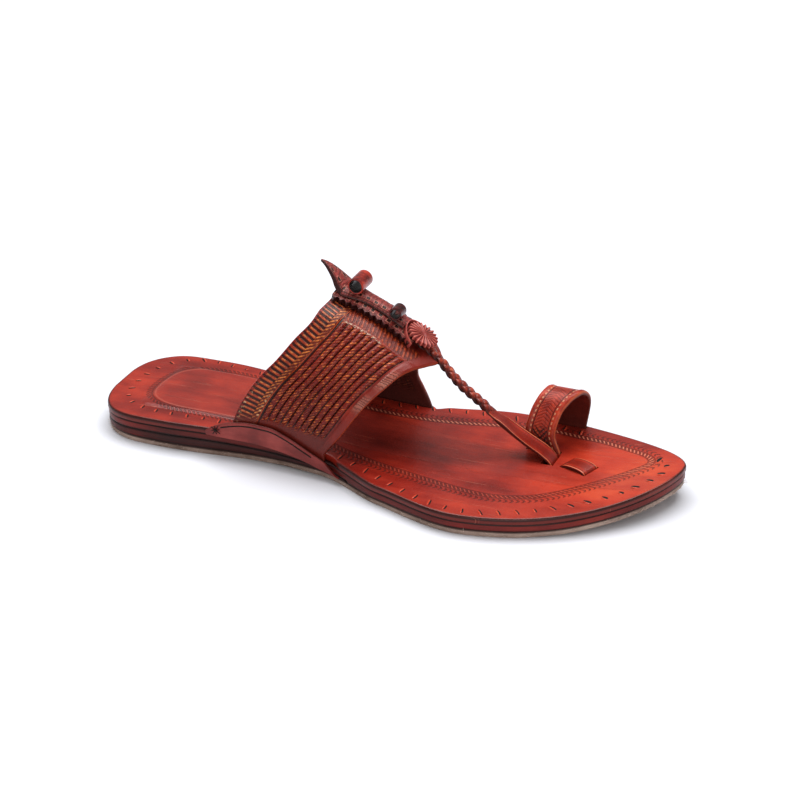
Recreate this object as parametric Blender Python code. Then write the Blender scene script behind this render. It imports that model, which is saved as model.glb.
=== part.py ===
# Kolhapuri sandal for the right foot: layered leather sole, instep band with a braided thong, toe ring.
# The sandal is laid out on the last: x runs from the heel back to the toe tip, y grows towards the
# medial side, z is the height above the floor. One empty carries all pieces and centres them.

import math

import bmesh
import bpy
from mathutils import Matrix, Vector

MM = 0.001

# Sizes of the last
LENGTH = 270 * MM
BALL_WIDTH = 101 * MM
WAIST_WIDTH = 61 * MM
HEEL_WIDTH = 67.5 * MM
HEEL_HEIGHT = 13.7 * MM  # floor to the insole under the heel
INSTEP_HEIGHT = 62 * MM  # insole to the crest of the band at its back edge
CREST_OFFSET = 4 * MM  # the crest lies this far to the medial side
TIP_OFFSET = 9.5 * MM  # and the toe tip this far
HEEL_ROUND = 30 * MM  # length of the rounded heel end
HEEL_SQUARENESS = 2.8
END_CUT = 0.2 * MM  # heel back and toe tip are flat where the outline is this close to them
TOE_FULLNESS = 1.7
INSTEP_FULLNESS = 2.2  # 2 is an ellipse, more is squarer

# Sole layers
OUTSOLE = 2.6 * MM
MIDSOLE = 3.3 * MM
INSOLE = 2.8 * MM
GAP = 0.3 * MM  # between pieces that touch
TOE_SPRING = 6.4 * MM
TOE_SPRING_START = 0.785  # share of the length
HEEL_ROLL = 1.2 * MM  # the tread is worn up at the heel back
HEEL_ROLL_LENGTH = 12 * MM
ARCH_RISE = 0.8 * MM
ARCH_START = 0.26  # share of the length
ARCH_END = 0.50  # share of the length
LIFT_END = 0.48  # share of the length
LIFT_STEP = 1.5 * MM  # length of the step in the midsole where the lift ends
OUTSOLE_INSET = 0.6 * MM
LIFT_INSET = 0.4 * MM
EDGE_CHAMFER = 0.5 * MM
PAD_RISE = 0.9 * MM  # the heel pad stands proud of the insole
PAD_START = 0.07  # share of the length
PAD_END = 0.36  # share of the length
PAD_SLOPE = 6 * MM
PAD_SHARE = 0.58  # share of the half width
PAD_BORDER = 0.12
INSOLE_SHARES = (-1, -PAD_SHARE - PAD_BORDER, -PAD_SHARE, -0.3, 0, 0.3, PAD_SHARE, PAD_SHARE + PAD_BORDER, 1)
STATION_STEP = 5.5 * MM  # between sections along the straight part of the sole
HEEL_STEPS = 7
TOE_STEPS = 12

# Straps
BAND_WALL = 2.2 * MM
CORD_RISE = 0.9 * MM
CORD_COUNT = 10
BORDER_RISE = 0.5 * MM
FLAP_WALL = 1.3 * MM
RING_WALL = 2 * MM
RING_SPAN = 30 * MM  # over the outside of the ring's two feet
RING_HEIGHT = 24.3 * MM  # insole to the outside of its crown
RING_MIDDLE = 26 * MM  # y of its crown
RING_FULLNESS = 2.3
RING_RIM_RISE = 0.3 * MM
RING_SHARES = (0, 0.12, 0.5, 0.88, 1)  # the rims stand proud at the second and the fourth
RING_ANGLES = (-90, -80, -68, -56, -44, -32, -20, -8, 4, 16, 28, 40, 52, 64, 76, 90)
SLIT_CLEARANCE = 0.4 * MM
THONG_SLIT = 5.6 * MM  # along the sole, because the strap goes in at a slant
STRAP_OFFSET = 5 * MM  # y of the thong where it enters the insole
TAB_LENGTH = 12 * MM
TAB_WIDTH = 9.5 * MM
TAB_WALL = 1.3 * MM
TAB_RISE = 0.5 * MM  # underside of the tab above the insole
TAB_AHEAD = 0.8295  # share of the length, middle of the tab
TAB_ASIDE = 2.2 * MM  # and its y
TAB_TURN = math.radians(-21)
BRAID_PITCH = 7.5 * MM
BRAID_RELIEF = 0.5 * MM

# Trim on the crest
PINKED_WIDTH = 17 * MM
PINKED_WALL = 2.6 * MM
TOOTH_PITCH = 2.8 * MM
TOOTH_DEPTH = 1.1 * MM
TAIL_WIDTH = 13 * MM
TAIL_WALL = 2.4 * MM
TAIL_TIP_WALL = 0.8 * MM
TAIL_DROOP = 0.9 * MM  # its sides hang this far below its middle
BEAD_BACK_LENGTH = 12 * MM
BEAD_BACK_RADIUS = 3.5 * MM
BEAD_FRONT_LENGTH = 10 * MM
BEAD_FRONT_RADIUS = 2.4 * MM
BEAD_WALL = 1.2 * MM
ROSETTE_RADIUS = 7.6 * MM
ROSETTE_WALL = 1.8 * MM
ROSETTE_FLUTES = 20
FLUTE_DEPTH = 0.4 * MM
FLUTE_NOTCH = 0.4 * MM  # depth of the flutes in the rim
ROSETTE_BOSS = 4.2 * MM  # radius where the flutes end
ROSETTE_SEAT = 0.3 * MM  # the disc is flat and the strip below it arched

LATERAL = -1
MEDIAL = 1

# Plan of the sole: along as a share of the length, its width there, share of that width on the lateral side
PLAN = (
    (0.00, HEEL_WIDTH, 0.500),
    (0.14, HEEL_WIDTH, 0.515),
    (0.30, WAIST_WIDTH, 0.508),
    (0.43, 1.08 * WAIST_WIDTH, 0.510),
    (0.55, 0.82 * BALL_WIDTH, 0.575),
    (0.69, BALL_WIDTH, 0.574),
    (0.74, BALL_WIDTH, 0.570),
)
TOE_START = {LATERAL: 0.69, MEDIAL: 0.74}  # share of the length where each side turns to the tip

# Heel lift with its gap: along as a share of the length, share of the full lift
LIFT = (
    (0.00, 0.55),
    (0.08, 0.88),
    (0.18, 1.00),
    (0.30, 0.76),
    (0.41, 0.40),
    (0.48, 0.19),
    (0.56, 0.00),
    (1.00, 0.00),
)

# Crest of the instep: along as a share of the length, height over the insole as a share of INSTEP_HEIGHT
CREST = (
    (0.22, 1.12),
    (0.33, 1.07),
    (0.40, 1.00),
    (0.44, 0.962),
    (0.48, 0.906),
    (0.515, 0.825),
    (0.555, 0.722),
    (0.585, 0.634),
    (0.63, 0.524),
)

# Edges of the band: angle from the crest, back edge and front edge as shares of the length
BAND = (
    (-90, 0.261, 0.435),
    (-79, 0.281, 0.467),
    (-68, 0.309, 0.490),
    (-57, 0.341, 0.510),
    (-45, 0.365, 0.530),
    (-31, 0.387, 0.548),
    (-20, 0.394, 0.563),
    (-10, 0.400, 0.576),
    (0, 0.4015, 0.585),
    (20, 0.396, 0.562),
    (45, 0.382, 0.522),
    (60, 0.370, 0.503),
    (75, 0.358, 0.503),
    (82, 0.353, 0.513),
    (90, 0.348, 0.527),
)
BAND_ANGLES = (0, 6, 12, 18, 23, 29, 36, 43, 50, 57, 64, 71, 77, 82, 86, 90)
PANEL_TOP = 21  # the cords run between these two angles
PANEL_FOOT = 83
BORDER_SHARE = 0.225  # back border, share of the band's width
PANEL_SHARES = (0.25, 0.89)
FRONT_BORDER = 0.92
SPREAD = 0.05  # the last grows wider ahead of the band's foot by this much per length

# Flaps: along as a share of the length, top and bottom over the insole as shares of FLAP_RISE
FLAP_RISE = 7 * MM
FLAP = {
    LATERAL: (
        (0.222, 0.00, -0.36),
        (0.240, 0.42, -0.40),
        (0.262, 0.74, -0.42),
        (0.300, 0.98, -0.42),
        (0.335, 0.96, -0.50),
        (0.370, 0.62, -0.60),
        (0.405, 0.14, -0.76),
        (0.440, -0.28, -0.94),
        (0.468, -0.60, -0.98),
    ),
    MEDIAL: (
        (0.310, 0.00, -0.36),
        (0.328, 0.42, -0.40),
        (0.350, 0.74, -0.42),
        (0.390, 0.98, -0.46),
        (0.430, 0.96, -0.54),
        (0.465, 0.62, -0.66),
        (0.500, 0.14, -0.78),
        (0.530, -0.28, -0.94),
        (0.555, -0.60, -0.98),
    ),
}
REBATE_BLEND = 7 * MM  # the insole runs in to make room for the band's foot over this length
REBATE_MARGIN = 1.3  # in blends, from where it starts to run in to the edge of the foot

# Thong: along as a share of the length, height of its middle over the insole as a share of
# INSTEP_HEIGHT, half width and half thickness in THONG_WIDTH, share of the braid's relief
THONG_WIDTH = 6.2 * MM
THONG = (
    (0.548, 0.686, 0.46, 0.28, 0.0),
    (0.565, 0.645, 0.46, 0.32, 0.6),
    (0.585, 0.585, 0.46, 0.33, 1.0),
    (0.628, 0.443, 0.46, 0.33, 1.0),
    (0.660, 0.342, 0.46, 0.33, 1.0),
    (0.683, 0.262, 0.51, 0.25, 0.4),
    (0.713, 0.172, 0.68, 0.17, 0.0),
    (0.742, 0.098, 0.79, 0.15, 0.0),
    (0.767, 0.040, 0.81, 0.15, 0.0),
    (0.778, 0.010, 0.79, 0.14, 0.0),
    (0.783, -0.030, 0.75, 0.14, 0.0),
)
BRAID_STEPS = 4  # rings along one pitch of the braid

# Toe ring: angle from its crown, back and front rim as shares of the length
RING = (
    (-90, 0.728, 0.785),
    (-70, 0.722, 0.773),
    (-45, 0.728, 0.777),
    (-25, 0.736, 0.793),
    (0, 0.741, 0.806),
    (40, 0.741, 0.806),
    (90, 0.735, 0.795),
)

# Tail of the upper strip: back from the last point on the crest and up from it, as shares of
# TAIL_REACH, and the width as a share of TAIL_WIDTH
TAIL_REACH = 14 * MM
TAIL = (
    (0.18, 0.17, 0.88),
    (0.37, 0.37, 0.62),
    (0.57, 0.54, 0.40),
    (0.73, 0.64, 0.22),
    (0.87, 0.69, 0.06),
)
STRIP_START = 0.402  # share of the length, back end of the pinked strip on the crest
TAIL_STEP = 3.2 * MM  # the tail strip leaves the crest this far ahead of that end
PINKED_END = 0.540
BEAD_BACK_PLACE = 0.4325
BEAD_FRONT_PLACE = 0.498
ROSETTE_PLACE = 0.5445


def through(rows, column, at):
    """Smooth value of a column at a place of the first column, without overshoot."""
    if at <= rows[0][0]:
        return rows[0][column]
    if at >= rows[-1][0]:
        return rows[-1][column]
    slopes = []
    for low, high in zip(rows, rows[1:]):
        slopes.append((high[column] - low[column]) / (high[0] - low[0]))
    tangents = [slopes[0]]
    for before, after in zip(slopes, slopes[1:]):
        if before * after <= 0:
            tangents.append(0.0)
        else:
            tangents.append(2 * before * after / (before + after))
    tangents.append(slopes[-1])
    index = 0
    while rows[index + 1][0] < at:
        index += 1
    low = rows[index]
    high = rows[index + 1]
    run = high[0] - low[0]
    t = (at - low[0]) / run
    start = (1 + 2 * t) * (1 - t) ** 2 * low[column]
    start_slope = t * (1 - t) ** 2 * run * tangents[index]
    end = t * t * (3 - 2 * t) * high[column]
    end_slope = t * t * (t - 1) * run * tangents[index + 1]
    return start + start_slope + end + end_slope


def smooth_step(value):
    value = min(1.0, max(0.0, value))
    return value * value * (3 - 2 * value)


def round_off(share, fullness):
    return max(0.0, 1 - share ** fullness) ** (1 / fullness)


def side_reach(x, side):
    """Sole edge from the middle line, before the ends are rounded."""
    width = through(PLAN, 1, x / LENGTH)
    lateral = through(PLAN, 2, x / LENGTH)
    return width * (lateral if side == LATERAL else 1 - lateral)


def edge(x, side, inset=0.0):
    """Signed y of the sole's edge, moved in by an inset all round."""
    x = (x - inset) / (LENGTH - 2 * inset) * LENGTH
    x = min(LENGTH - END_CUT, max(END_CUT, x))
    turn = TOE_START[side] * LENGTH
    if x > turn:
        reach = side * side_reach(turn, side)
        y = TIP_OFFSET + (reach - TIP_OFFSET) * round_off((x - turn) / (LENGTH - turn), TOE_FULLNESS)
    else:
        y = side * side_reach(x, side)
        if x < HEEL_ROUND:
            y *= round_off((HEEL_ROUND - x) / HEEL_ROUND, HEEL_SQUARENESS)
    return y - side * inset


def stations():
    """Places along the sole, closer together where its ends turn."""
    places = []
    for step in range(1, HEEL_STEPS + 1):
        turn = math.pi / 2 * step / HEEL_STEPS
        places.append(HEEL_ROUND * (1 - math.cos(turn) ** (2 / HEEL_SQUARENESS)))
    toe_start = TOE_START[LATERAL] * LENGTH
    count = round((toe_start - HEEL_ROUND) / STATION_STEP)
    for step in range(1, count):
        places.append(HEEL_ROUND + (toe_start - HEEL_ROUND) * step / count)
    for step in range(TOE_STEPS + 1):
        turn = math.pi / 2 * step / TOE_STEPS
        places.append(toe_start + (LENGTH - toe_start) * math.sin(turn) ** (2 / TOE_FULLNESS))
    return [0.0] + places


FOREFOOT_HEIGHT = OUTSOLE + MIDSOLE + INSOLE + 2 * GAP
FULL_LIFT = HEEL_HEIGHT - FOREFOOT_HEIGHT
FLAT_STATIONS = stations()


def under(x):
    """Underside of the tread: flat heel and forefoot, slight arch, toe spring."""
    if x < HEEL_ROLL_LENGTH:
        return HEEL_ROLL * ((HEEL_ROLL_LENGTH - x) / HEEL_ROLL_LENGTH) ** 2
    spring_start = TOE_SPRING_START * LENGTH
    if x > spring_start:
        return TOE_SPRING * ((x - spring_start) / (LENGTH - spring_start)) ** 2
    share = (x / LENGTH - ARCH_START) / (ARCH_END - ARCH_START)
    if 0 < share < 1:
        return ARCH_RISE * math.sin(math.pi * share) ** 2
    return 0.0


def lift(x):
    return FULL_LIFT * through(LIFT, 1, x / LENGTH)


def midsole_under(x):
    past = (x - LIFT_END * LENGTH) / LIFT_STEP
    return under(x) + OUTSOLE + GAP + lift(x) * (1 - smooth_step(past))


def midsole_top(x):
    return under(x) + OUTSOLE + GAP + lift(x) + MIDSOLE


def insole_under(x):
    return midsole_top(x) + GAP


def insole_top(x):
    return insole_under(x) + INSOLE


def band_edge(angle, column):
    return LENGTH * through(BAND, column, angle)


def rebate(x, side):
    """How far the insole runs in beside the band's foot."""
    start = (x - band_edge(90 * side, 1)) / REBATE_BLEND
    end = (band_edge(90 * side, 2) - x) / REBATE_BLEND
    return (BAND_WALL + GAP) * smooth_step(start + REBATE_MARGIN) * smooth_step(end + REBATE_MARGIN)


def foot_line(x, side):
    """Signed y of the band's outside at the sole: flush with the sole's edge."""
    front = band_edge(90 * side, 2)
    y = side_reach(min(x, front), side)
    return side * (y + SPREAD * max(0.0, x - front))


def instep(x, angle):
    """Point of the band's outside on the last, angle in degrees from the crest."""
    side = LATERAL if angle < 0 else MEDIAL
    turn = math.radians(abs(angle))
    reach = foot_line(x, side) - CREST_OFFSET
    y = CREST_OFFSET + reach * math.sin(turn) ** (2 / INSTEP_FULLNESS)
    rise = INSTEP_HEIGHT * through(CREST, 1, x / LENGTH)
    z = insole_top(x) + rise * max(0.0, math.cos(turn)) ** (2 / INSTEP_FULLNESS)
    return Vector((x, y, z))


def crest_angle(x, aside):
    """Angle at which the last lies this far beside the crest."""
    side = LATERAL if aside < 0 else MEDIAL
    reach = abs(foot_line(x, side) - CREST_OFFSET)
    return side * math.degrees(math.asin((abs(aside) / reach) ** (INSTEP_FULLNESS / 2)))


def instep_normal(x, angle):
    small = 0.5
    along = instep(x + small * MM, angle) - instep(x - small * MM, angle)
    around = instep(x, angle + small) - instep(x, angle - small)
    return along.cross(around).normalized()


def above_crest(x, aside, height):
    angle = crest_angle(x, aside)
    return instep(x, angle) + height * instep_normal(x, angle)


def band_relief(angle, share):
    """Height of the tooling on the band's outside: raised borders and a panel of cords."""
    away = abs(angle)
    faded = smooth_step((away - PANEL_TOP + 3) / 4) * smooth_step((90 - away) / 5)
    if share <= BORDER_SHARE or share >= FRONT_BORDER:
        return BORDER_RISE * faded
    low, high = PANEL_SHARES
    if not low <= share <= high:
        return 0.0
    in_panel = smooth_step((away - PANEL_TOP) / 3) * smooth_step((PANEL_FOOT - away) / 3)
    wave = (share - low) / (high - low) * CORD_COUNT
    return CORD_RISE * in_panel * math.sin(math.pi * (wave % 1.0)) ** 2


def wall(name, rows, columns, outside, inside):
    """One closed wall: a grid laid on outside(row, column), extruded to inside(row, column)."""
    mesh = bmesh.new()
    row_steps = len(rows) - 1
    column_steps = len(columns) - 1
    bmesh.ops.create_grid(mesh, x_segments=row_steps, y_segments=column_steps, size=1.0)
    grown = bmesh.ops.extrude_face_region(mesh, geom=list(mesh.faces), use_keep_orig=True)
    inner = {item for item in grown["geom"] if isinstance(item, bmesh.types.BMVert)}
    for vert in mesh.verts:
        row = rows[round((vert.co.x + 1) / 2 * row_steps)]
        column = columns[round((vert.co.y + 1) / 2 * column_steps)]
        place = inside if vert in inner else outside
        vert.co = place(row, column)
    face_outwards(mesh)
    return add_object(name, mesh)


def tube(name, rows, around, point):
    """A closed sweep: rings of points around, filled at both ends."""
    mesh = bmesh.new()
    row_steps = len(rows) - 1
    bmesh.ops.create_grid(mesh, x_segments=row_steps, y_segments=around, size=1.0)
    for vert in mesh.verts:
        row = rows[round((vert.co.x + 1) / 2 * row_steps)]
        turn = 2 * math.pi * round((vert.co.y + 1) / 2 * around) / around
        vert.co = point(row, turn)
    bmesh.ops.remove_doubles(mesh, verts=mesh.verts, dist=1e-6)
    open_edges = [item for item in mesh.edges if len(item.link_faces) == 1]
    bmesh.ops.holes_fill(mesh, edges=open_edges, sides=0)
    face_outwards(mesh)
    return add_object(name, mesh)


def face_outwards(mesh):
    bmesh.ops.recalc_face_normals(mesh, faces=mesh.faces)
    if mesh.calc_volume(signed=True) < 0:
        bmesh.ops.reverse_faces(mesh, faces=mesh.faces)


def add_object(name, mesh):
    data = bpy.data.meshes.new(name)
    mesh.to_mesh(data)
    mesh.free()
    piece = bpy.data.objects.new(name, data)
    bpy.context.scene.collection.objects.link(piece)
    return piece


def leather(name, colour, roughness):
    material = bpy.data.materials.new(name)
    material.use_nodes = True
    shader = material.node_tree.nodes["Principled BSDF"]
    shader.inputs["Base Color"].default_value = (*colour, 1.0)
    shader.inputs["Roughness"].default_value = roughness
    shader.inputs["Metallic"].default_value = 0.0
    return material


def finish(piece, parent, material, crease=40):
    piece.data.materials.append(material)
    piece.data.shade_smooth()
    piece.data.set_sharp_from_angle(angle=math.radians(crease))
    piece.parent = parent
    return piece


def chamfer_rim(piece, low):
    """Small chamfer round the top rim, or round the underside's rim when low is true."""
    mesh = bmesh.new()
    mesh.from_mesh(piece.data)
    rim = []
    for item in mesh.edges:
        facing = sorted(abs(face.normal.z) for face in item.link_faces)
        flat = max(item.link_faces, key=lambda face: abs(face.normal.z))
        if facing[0] < 0.5 < facing[1] and (flat.normal.z < 0) == low:
            rim.append(item)
    bmesh.ops.bevel(mesh, geom=rim, offset=EDGE_CHAMFER, segments=1, profile=0.5, affect="EDGES",
                    material=-1)
    mesh.to_mesh(piece.data)
    mesh.free()


def layer(name, places, shares, top, bottom, inset):
    """One sole layer between two height functions, its edge moved in by inset(x, side)."""
    def spot(x, share, height):
        left = edge(x, LATERAL, inset(x, LATERAL))
        right = edge(x, MEDIAL, inset(x, MEDIAL))
        y = left + (right - left) * (share + 1) / 2
        return Vector((x, y, height(x, share)))

    return wall(name, places, shares,
                lambda x, share: spot(x, share, top),
                lambda x, share: spot(x, share, bottom))


def build_outsole():
    piece = layer("outsole", FLAT_STATIONS, (-1, 1),
                  lambda x, share: under(x) + OUTSOLE,
                  lambda x, share: under(x),
                  lambda x, side: OUTSOLE_INSET)
    chamfer_rim(piece, low=True)
    return piece


def build_heel_lift():
    end = LIFT_END * LENGTH
    places = [x for x in FLAT_STATIONS if x < end - GAP] + [end]
    return layer("heel_lift", places, (-1, 1),
                 lambda x, share: midsole_top(x) - MIDSOLE - GAP,
                 lambda x, share: under(x) + OUTSOLE + GAP,
                 lambda x, side: LIFT_INSET)


def build_midsole():
    end = LIFT_END * LENGTH + GAP
    places = sorted(FLAT_STATIONS + [end, end + LIFT_STEP])
    return layer("midsole", places, (-1, 1),
                 lambda x, share: midsole_top(x),
                 lambda x, share: midsole_under(x - GAP),
                 lambda x, side: 0.0)


def pad(x, share):
    """Rise of the heel pad, whose border follows the sole's edge."""
    start = smooth_step((x - PAD_START * LENGTH) / PAD_SLOPE)
    along = start * smooth_step((PAD_END * LENGTH - x) / PAD_SLOPE)
    return PAD_RISE * along * smooth_step((PAD_SHARE + PAD_BORDER - abs(share)) / PAD_BORDER)


def build_insole():
    piece = layer("insole", FLAT_STATIONS, INSOLE_SHARES,
                  lambda x, share: insole_top(x) + pad(x, share),
                  lambda x, share: insole_under(x),
                  rebate)
    chamfer_rim(piece, low=False)
    cutter = build_slit_cutter()
    cut = piece.modifiers.new("slits", "BOOLEAN")
    cut.operation = "DIFFERENCE"
    cut.object = cutter
    return piece


def slit_boxes():
    """Middle, size and turn of each slit: thong, both ends of its tab, both feet of the ring."""
    slack = 2 * SLIT_CLEARANCE
    across = 2 * max(row[2] for row in THONG) * THONG_WIDTH + slack
    end = THONG[-1][0] * LENGTH + THONG_WIDTH * THONG[-1][3] + SLIT_CLEARANCE
    boxes = [(end - THONG_SLIT / 2, STRAP_OFFSET, THONG_SLIT, across, 0.0)]
    for end in (-1, 1):
        x, y = tab_place(end * TAB_LENGTH / 2, 0)
        boxes.append((x, y, TAB_WALL + slack, TAB_WIDTH + slack, TAB_TURN))
    for side in (LATERAL, MEDIAL):
        back = LENGTH * through(RING, 1, 90 * side)
        front = LENGTH * through(RING, 2, 90 * side)
        y = RING_MIDDLE + side * (RING_SPAN - RING_WALL) / 2
        boxes.append(((back + front) / 2, y, front - back + slack, RING_WALL + slack, 0.0))
    return boxes


def build_slit_cutter():
    mesh = bmesh.new()
    for x, y, size_x, size_y, turn in slit_boxes():
        place = Matrix.Translation((x, y, insole_under(x) + INSOLE / 2))
        shape = Matrix.Rotation(turn, 4, "Z") @ Matrix.Diagonal((size_x, size_y, 4 * INSOLE, 1))
        bmesh.ops.create_cube(mesh, size=1.0, matrix=place @ shape)
    cutter = add_object("slit_cutter", mesh)
    cutter.hide_render = True
    cutter.display_type = "WIRE"
    return cutter


def flap_point(x, side, share, offset):
    rows = FLAP[side]
    high = insole_top(x) + FLAP_RISE * through(rows, 1, x / LENGTH)
    low = insole_top(x) + FLAP_RISE * through(rows, 2, x / LENGTH)
    z = low + (high - low) * share
    turn = 0.0
    rise = z - insole_top(x)
    if rise > 0:
        tall = INSTEP_HEIGHT * through(CREST, 1, x / LENGTH)
        turn = math.asin(min(1.0, (rise / tall) ** (INSTEP_FULLNESS / 2)))
    lean = abs(foot_line(x, side) - CREST_OFFSET) * (1 - math.cos(turn) ** (2 / INSTEP_FULLNESS))
    y = edge(x, side) + side * (GAP + offset - lean)
    return Vector((x, y, z))


def build_flap(name, side):
    rows = FLAP[side]
    steps = 16
    start = rows[0][0] * LENGTH
    end = rows[-1][0] * LENGTH
    places = [start + (end - start) * step / steps for step in range(steps + 1)]
    relief = BORDER_RISE
    return wall(name, places, (0, 0.3, 0.65, 1),
                lambda x, share: flap_point(x, side, share, FLAP_WALL + relief * smooth_step(share)),
                lambda x, share: flap_point(x, side, share, relief * smooth_step(share)))


def band_rows():
    """Angles along the band with the drop of its feet past the insole's top as a second value."""
    lateral = [(-angle, 0.0) for angle in reversed(BAND_ANGLES)]
    medial = [(angle, 0.0) for angle in BAND_ANGLES[1:]]
    return [(-90, 1.0)] + lateral + medial + [(90, 1.0)]


def band_shares():
    low, high = PANEL_SHARES
    cords = [low + (high - low) * step / (2 * CORD_COUNT) for step in range(2 * CORD_COUNT + 1)]
    return [0.0, 0.11, BORDER_SHARE] + cords + [FRONT_BORDER, 1.0]


def band_point(row, share, depth):
    angle, drop = row
    back = band_edge(angle, 1)
    x = back + (band_edge(angle, 2) - back) * share
    point = instep(x, angle)
    if abs(angle) == 90:
        side = LATERAL if angle < 0 else MEDIAL
        point.y -= side * depth
        point.z -= drop * INSOLE
        return point
    relief = band_relief(angle, share) if depth == 0 else 0.0
    return point + (relief - depth) * instep_normal(x, angle)


def thong_centre(row):
    x = row[0] * LENGTH
    past = smooth_step((row[0] - THONG[0][0]) / (THONG[-1][0] - THONG[0][0]))
    y = CREST_OFFSET + (STRAP_OFFSET - CREST_OFFSET) * past
    return Vector((x, y, insole_top(x) + INSTEP_HEIGHT * row[1]))


def thong_rows():
    """Rings of the thong, close together along the braid."""
    ring_step = BRAID_PITCH / BRAID_STEPS / LENGTH
    count = round((THONG[5][0] - THONG[0][0]) / (0.8 * ring_step))
    places = [THONG[0][0] + (THONG[5][0] - THONG[0][0]) * step / count for step in range(count)]
    places += [row[0] for row in THONG[5:]]
    return [(at,) + tuple(through(THONG, column, at) for column in range(1, 5)) for at in places]


def build_thong():
    rows = thong_rows()
    centres = [thong_centre(row) for row in rows]
    travelled = [0.0]
    for before, after in zip(centres, centres[1:]):
        travelled.append(travelled[-1] + (after - before).length)

    def point(index, turn):
        before = centres[max(0, index - 1)]
        after = centres[min(len(centres) - 1, index + 1)]
        along = (after - before).normalized()
        across = Vector((0, 1, 0))
        up = along.cross(across).normalized()
        wide = THONG_WIDTH * rows[index][2] * math.cos(turn)
        thick = THONG_WIDTH * rows[index][3] * math.sin(turn)
        phase = 2 * math.pi * travelled[index] / BRAID_PITCH
        strand = math.cos(phase + 2 * turn)
        swell = 1 + BRAID_RELIEF / THONG_WIDTH * 2 * rows[index][4] * strand
        return centres[index] + swell * (wide * across - thick * up)

    piece = tube("thong", list(range(len(rows))), 10, point)
    piece.hide_render = True
    piece.display_type = "WIRE"
    return piece


def build_upper():
    piece = wall("upper", band_rows(), band_shares(),
                 lambda row, share: band_point(row, share, 0.0),
                 lambda row, share: band_point(row, share, BAND_WALL))
    thong = build_thong()
    join = piece.modifiers.new("thong", "BOOLEAN")
    join.operation = "UNION"
    join.object = thong
    return piece, thong


def ring_point(row, share, depth):
    angle, drop = row
    turn = math.radians(abs(angle))
    side = -1 if angle < 0 else 1
    back = LENGTH * through(RING, 1, angle)
    front = LENGTH * through(RING, 2, angle)
    x = back + (front - back) * share
    middle = (back + front) / 2
    y = RING_MIDDLE + side * (RING_SPAN / 2 - depth) * math.sin(turn) ** (2 / RING_FULLNESS)
    rise = (RING_HEIGHT - depth) * max(0.0, math.cos(turn)) ** (2 / RING_FULLNESS)
    z = insole_top(middle) + rise
    if drop:
        z = insole_under(x)
    return Vector((x, y, z))


def build_ring():
    rows = [(-90, 1)] + [(angle, 0) for angle in RING_ANGLES] + [(90, 1)]
    rims = (RING_SHARES[1], RING_SHARES[3])
    return wall("toe_ring", rows, RING_SHARES,
                lambda row, share: ring_point(row, share, -RING_RIM_RISE if share in rims else 0.0),
                lambda row, share: ring_point(row, share, RING_WALL))


def build_pinked_strip():
    start = STRIP_START * LENGTH
    end = PINKED_END * LENGTH
    teeth = round((end - start) / TOOTH_PITCH)
    steps = list(range(2 * teeth + 1))

    def point(step, share, height):
        x = start + (end - start) * step / (2 * teeth)
        half = PINKED_WIDTH / 2
        if abs(share) == 1 and step % 2 == 0:
            half -= TOOTH_DEPTH
        return above_crest(x, share * half, height)

    return wall("pinked_strip", steps, (-1, -0.75, -0.4, 0, 0.4, 0.75, 1),
                lambda step, share: point(step, share, GAP + PINKED_WALL),
                lambda step, share: point(step, share, GAP))


def build_tail_strip():
    base = 2 * GAP + PINKED_WALL
    end = ROSETTE_PLACE * LENGTH - ROSETTE_RADIUS
    start = STRIP_START * LENGTH + TAIL_STEP
    steps = 9
    rows = []
    root = above_crest(start, 0, base)
    for back, up, width in reversed(TAIL):
        rows.append(("tail", back, up, width))
    for step in range(steps + 1):
        rows.append(("crest", start + (end - start) * step / steps, 0, 1))

    def tail_centre(back, up):
        return root + TAIL_REACH * Vector((-back, 0, up))

    def tail_direction(back):
        reach = TAIL[1][0] - TAIL[0][0]
        rise = through(TAIL, 1, back + reach / 2) - through(TAIL, 1, back - reach / 2)
        return Vector((-reach, 0, rise)).normalized()

    def point(row, share, height):
        kind, first, up, width = row
        aside = share * width * TAIL_WIDTH / 2
        if kind == "crest":
            return above_crest(first, aside, base + height)
        here = tail_centre(first, up)
        along = tail_direction(first)
        normal = Vector((along.z, 0, -along.x))
        droop = share ** 2 * width * TAIL_DROOP
        thick = TAIL_TIP_WALL + (TAIL_WALL - TAIL_TIP_WALL) * width
        depth = (TAIL_WALL - height) * thick / TAIL_WALL
        return here + Vector((0, aside, 0)) + (TAIL_WALL - depth - droop) * normal

    return wall("tail_strip", rows, (-1, -0.5, 0, 0.5, 1),
                lambda row, share: point(row, share, TAIL_WALL),
                lambda row, share: point(row, share, 0.0))


def build_bead(name, place, radius, long):
    """Rolled leather tube across the crest, standing on the tail strip."""
    mesh = bmesh.new()
    half = long / 2
    corners = ((radius, -half), (radius, half), (radius - BEAD_WALL, half), (radius - BEAD_WALL, -half))
    verts = [mesh.verts.new((out, along, 0)) for out, along in corners]
    loop = [mesh.edges.new((verts[index], verts[(index + 1) % 4])) for index in range(4)]
    bmesh.ops.spin(mesh, geom=verts + loop, cent=(0, 0, 0), axis=(0, 1, 0), angle=2 * math.pi, steps=16,
                   use_merge=True, use_duplicate=False)
    face_outwards(mesh)
    piece = add_object(name, mesh)
    height = 3 * GAP + PINKED_WALL + TAIL_WALL + radius
    piece.location = above_crest(place * LENGTH, 0, height)
    return piece


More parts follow.
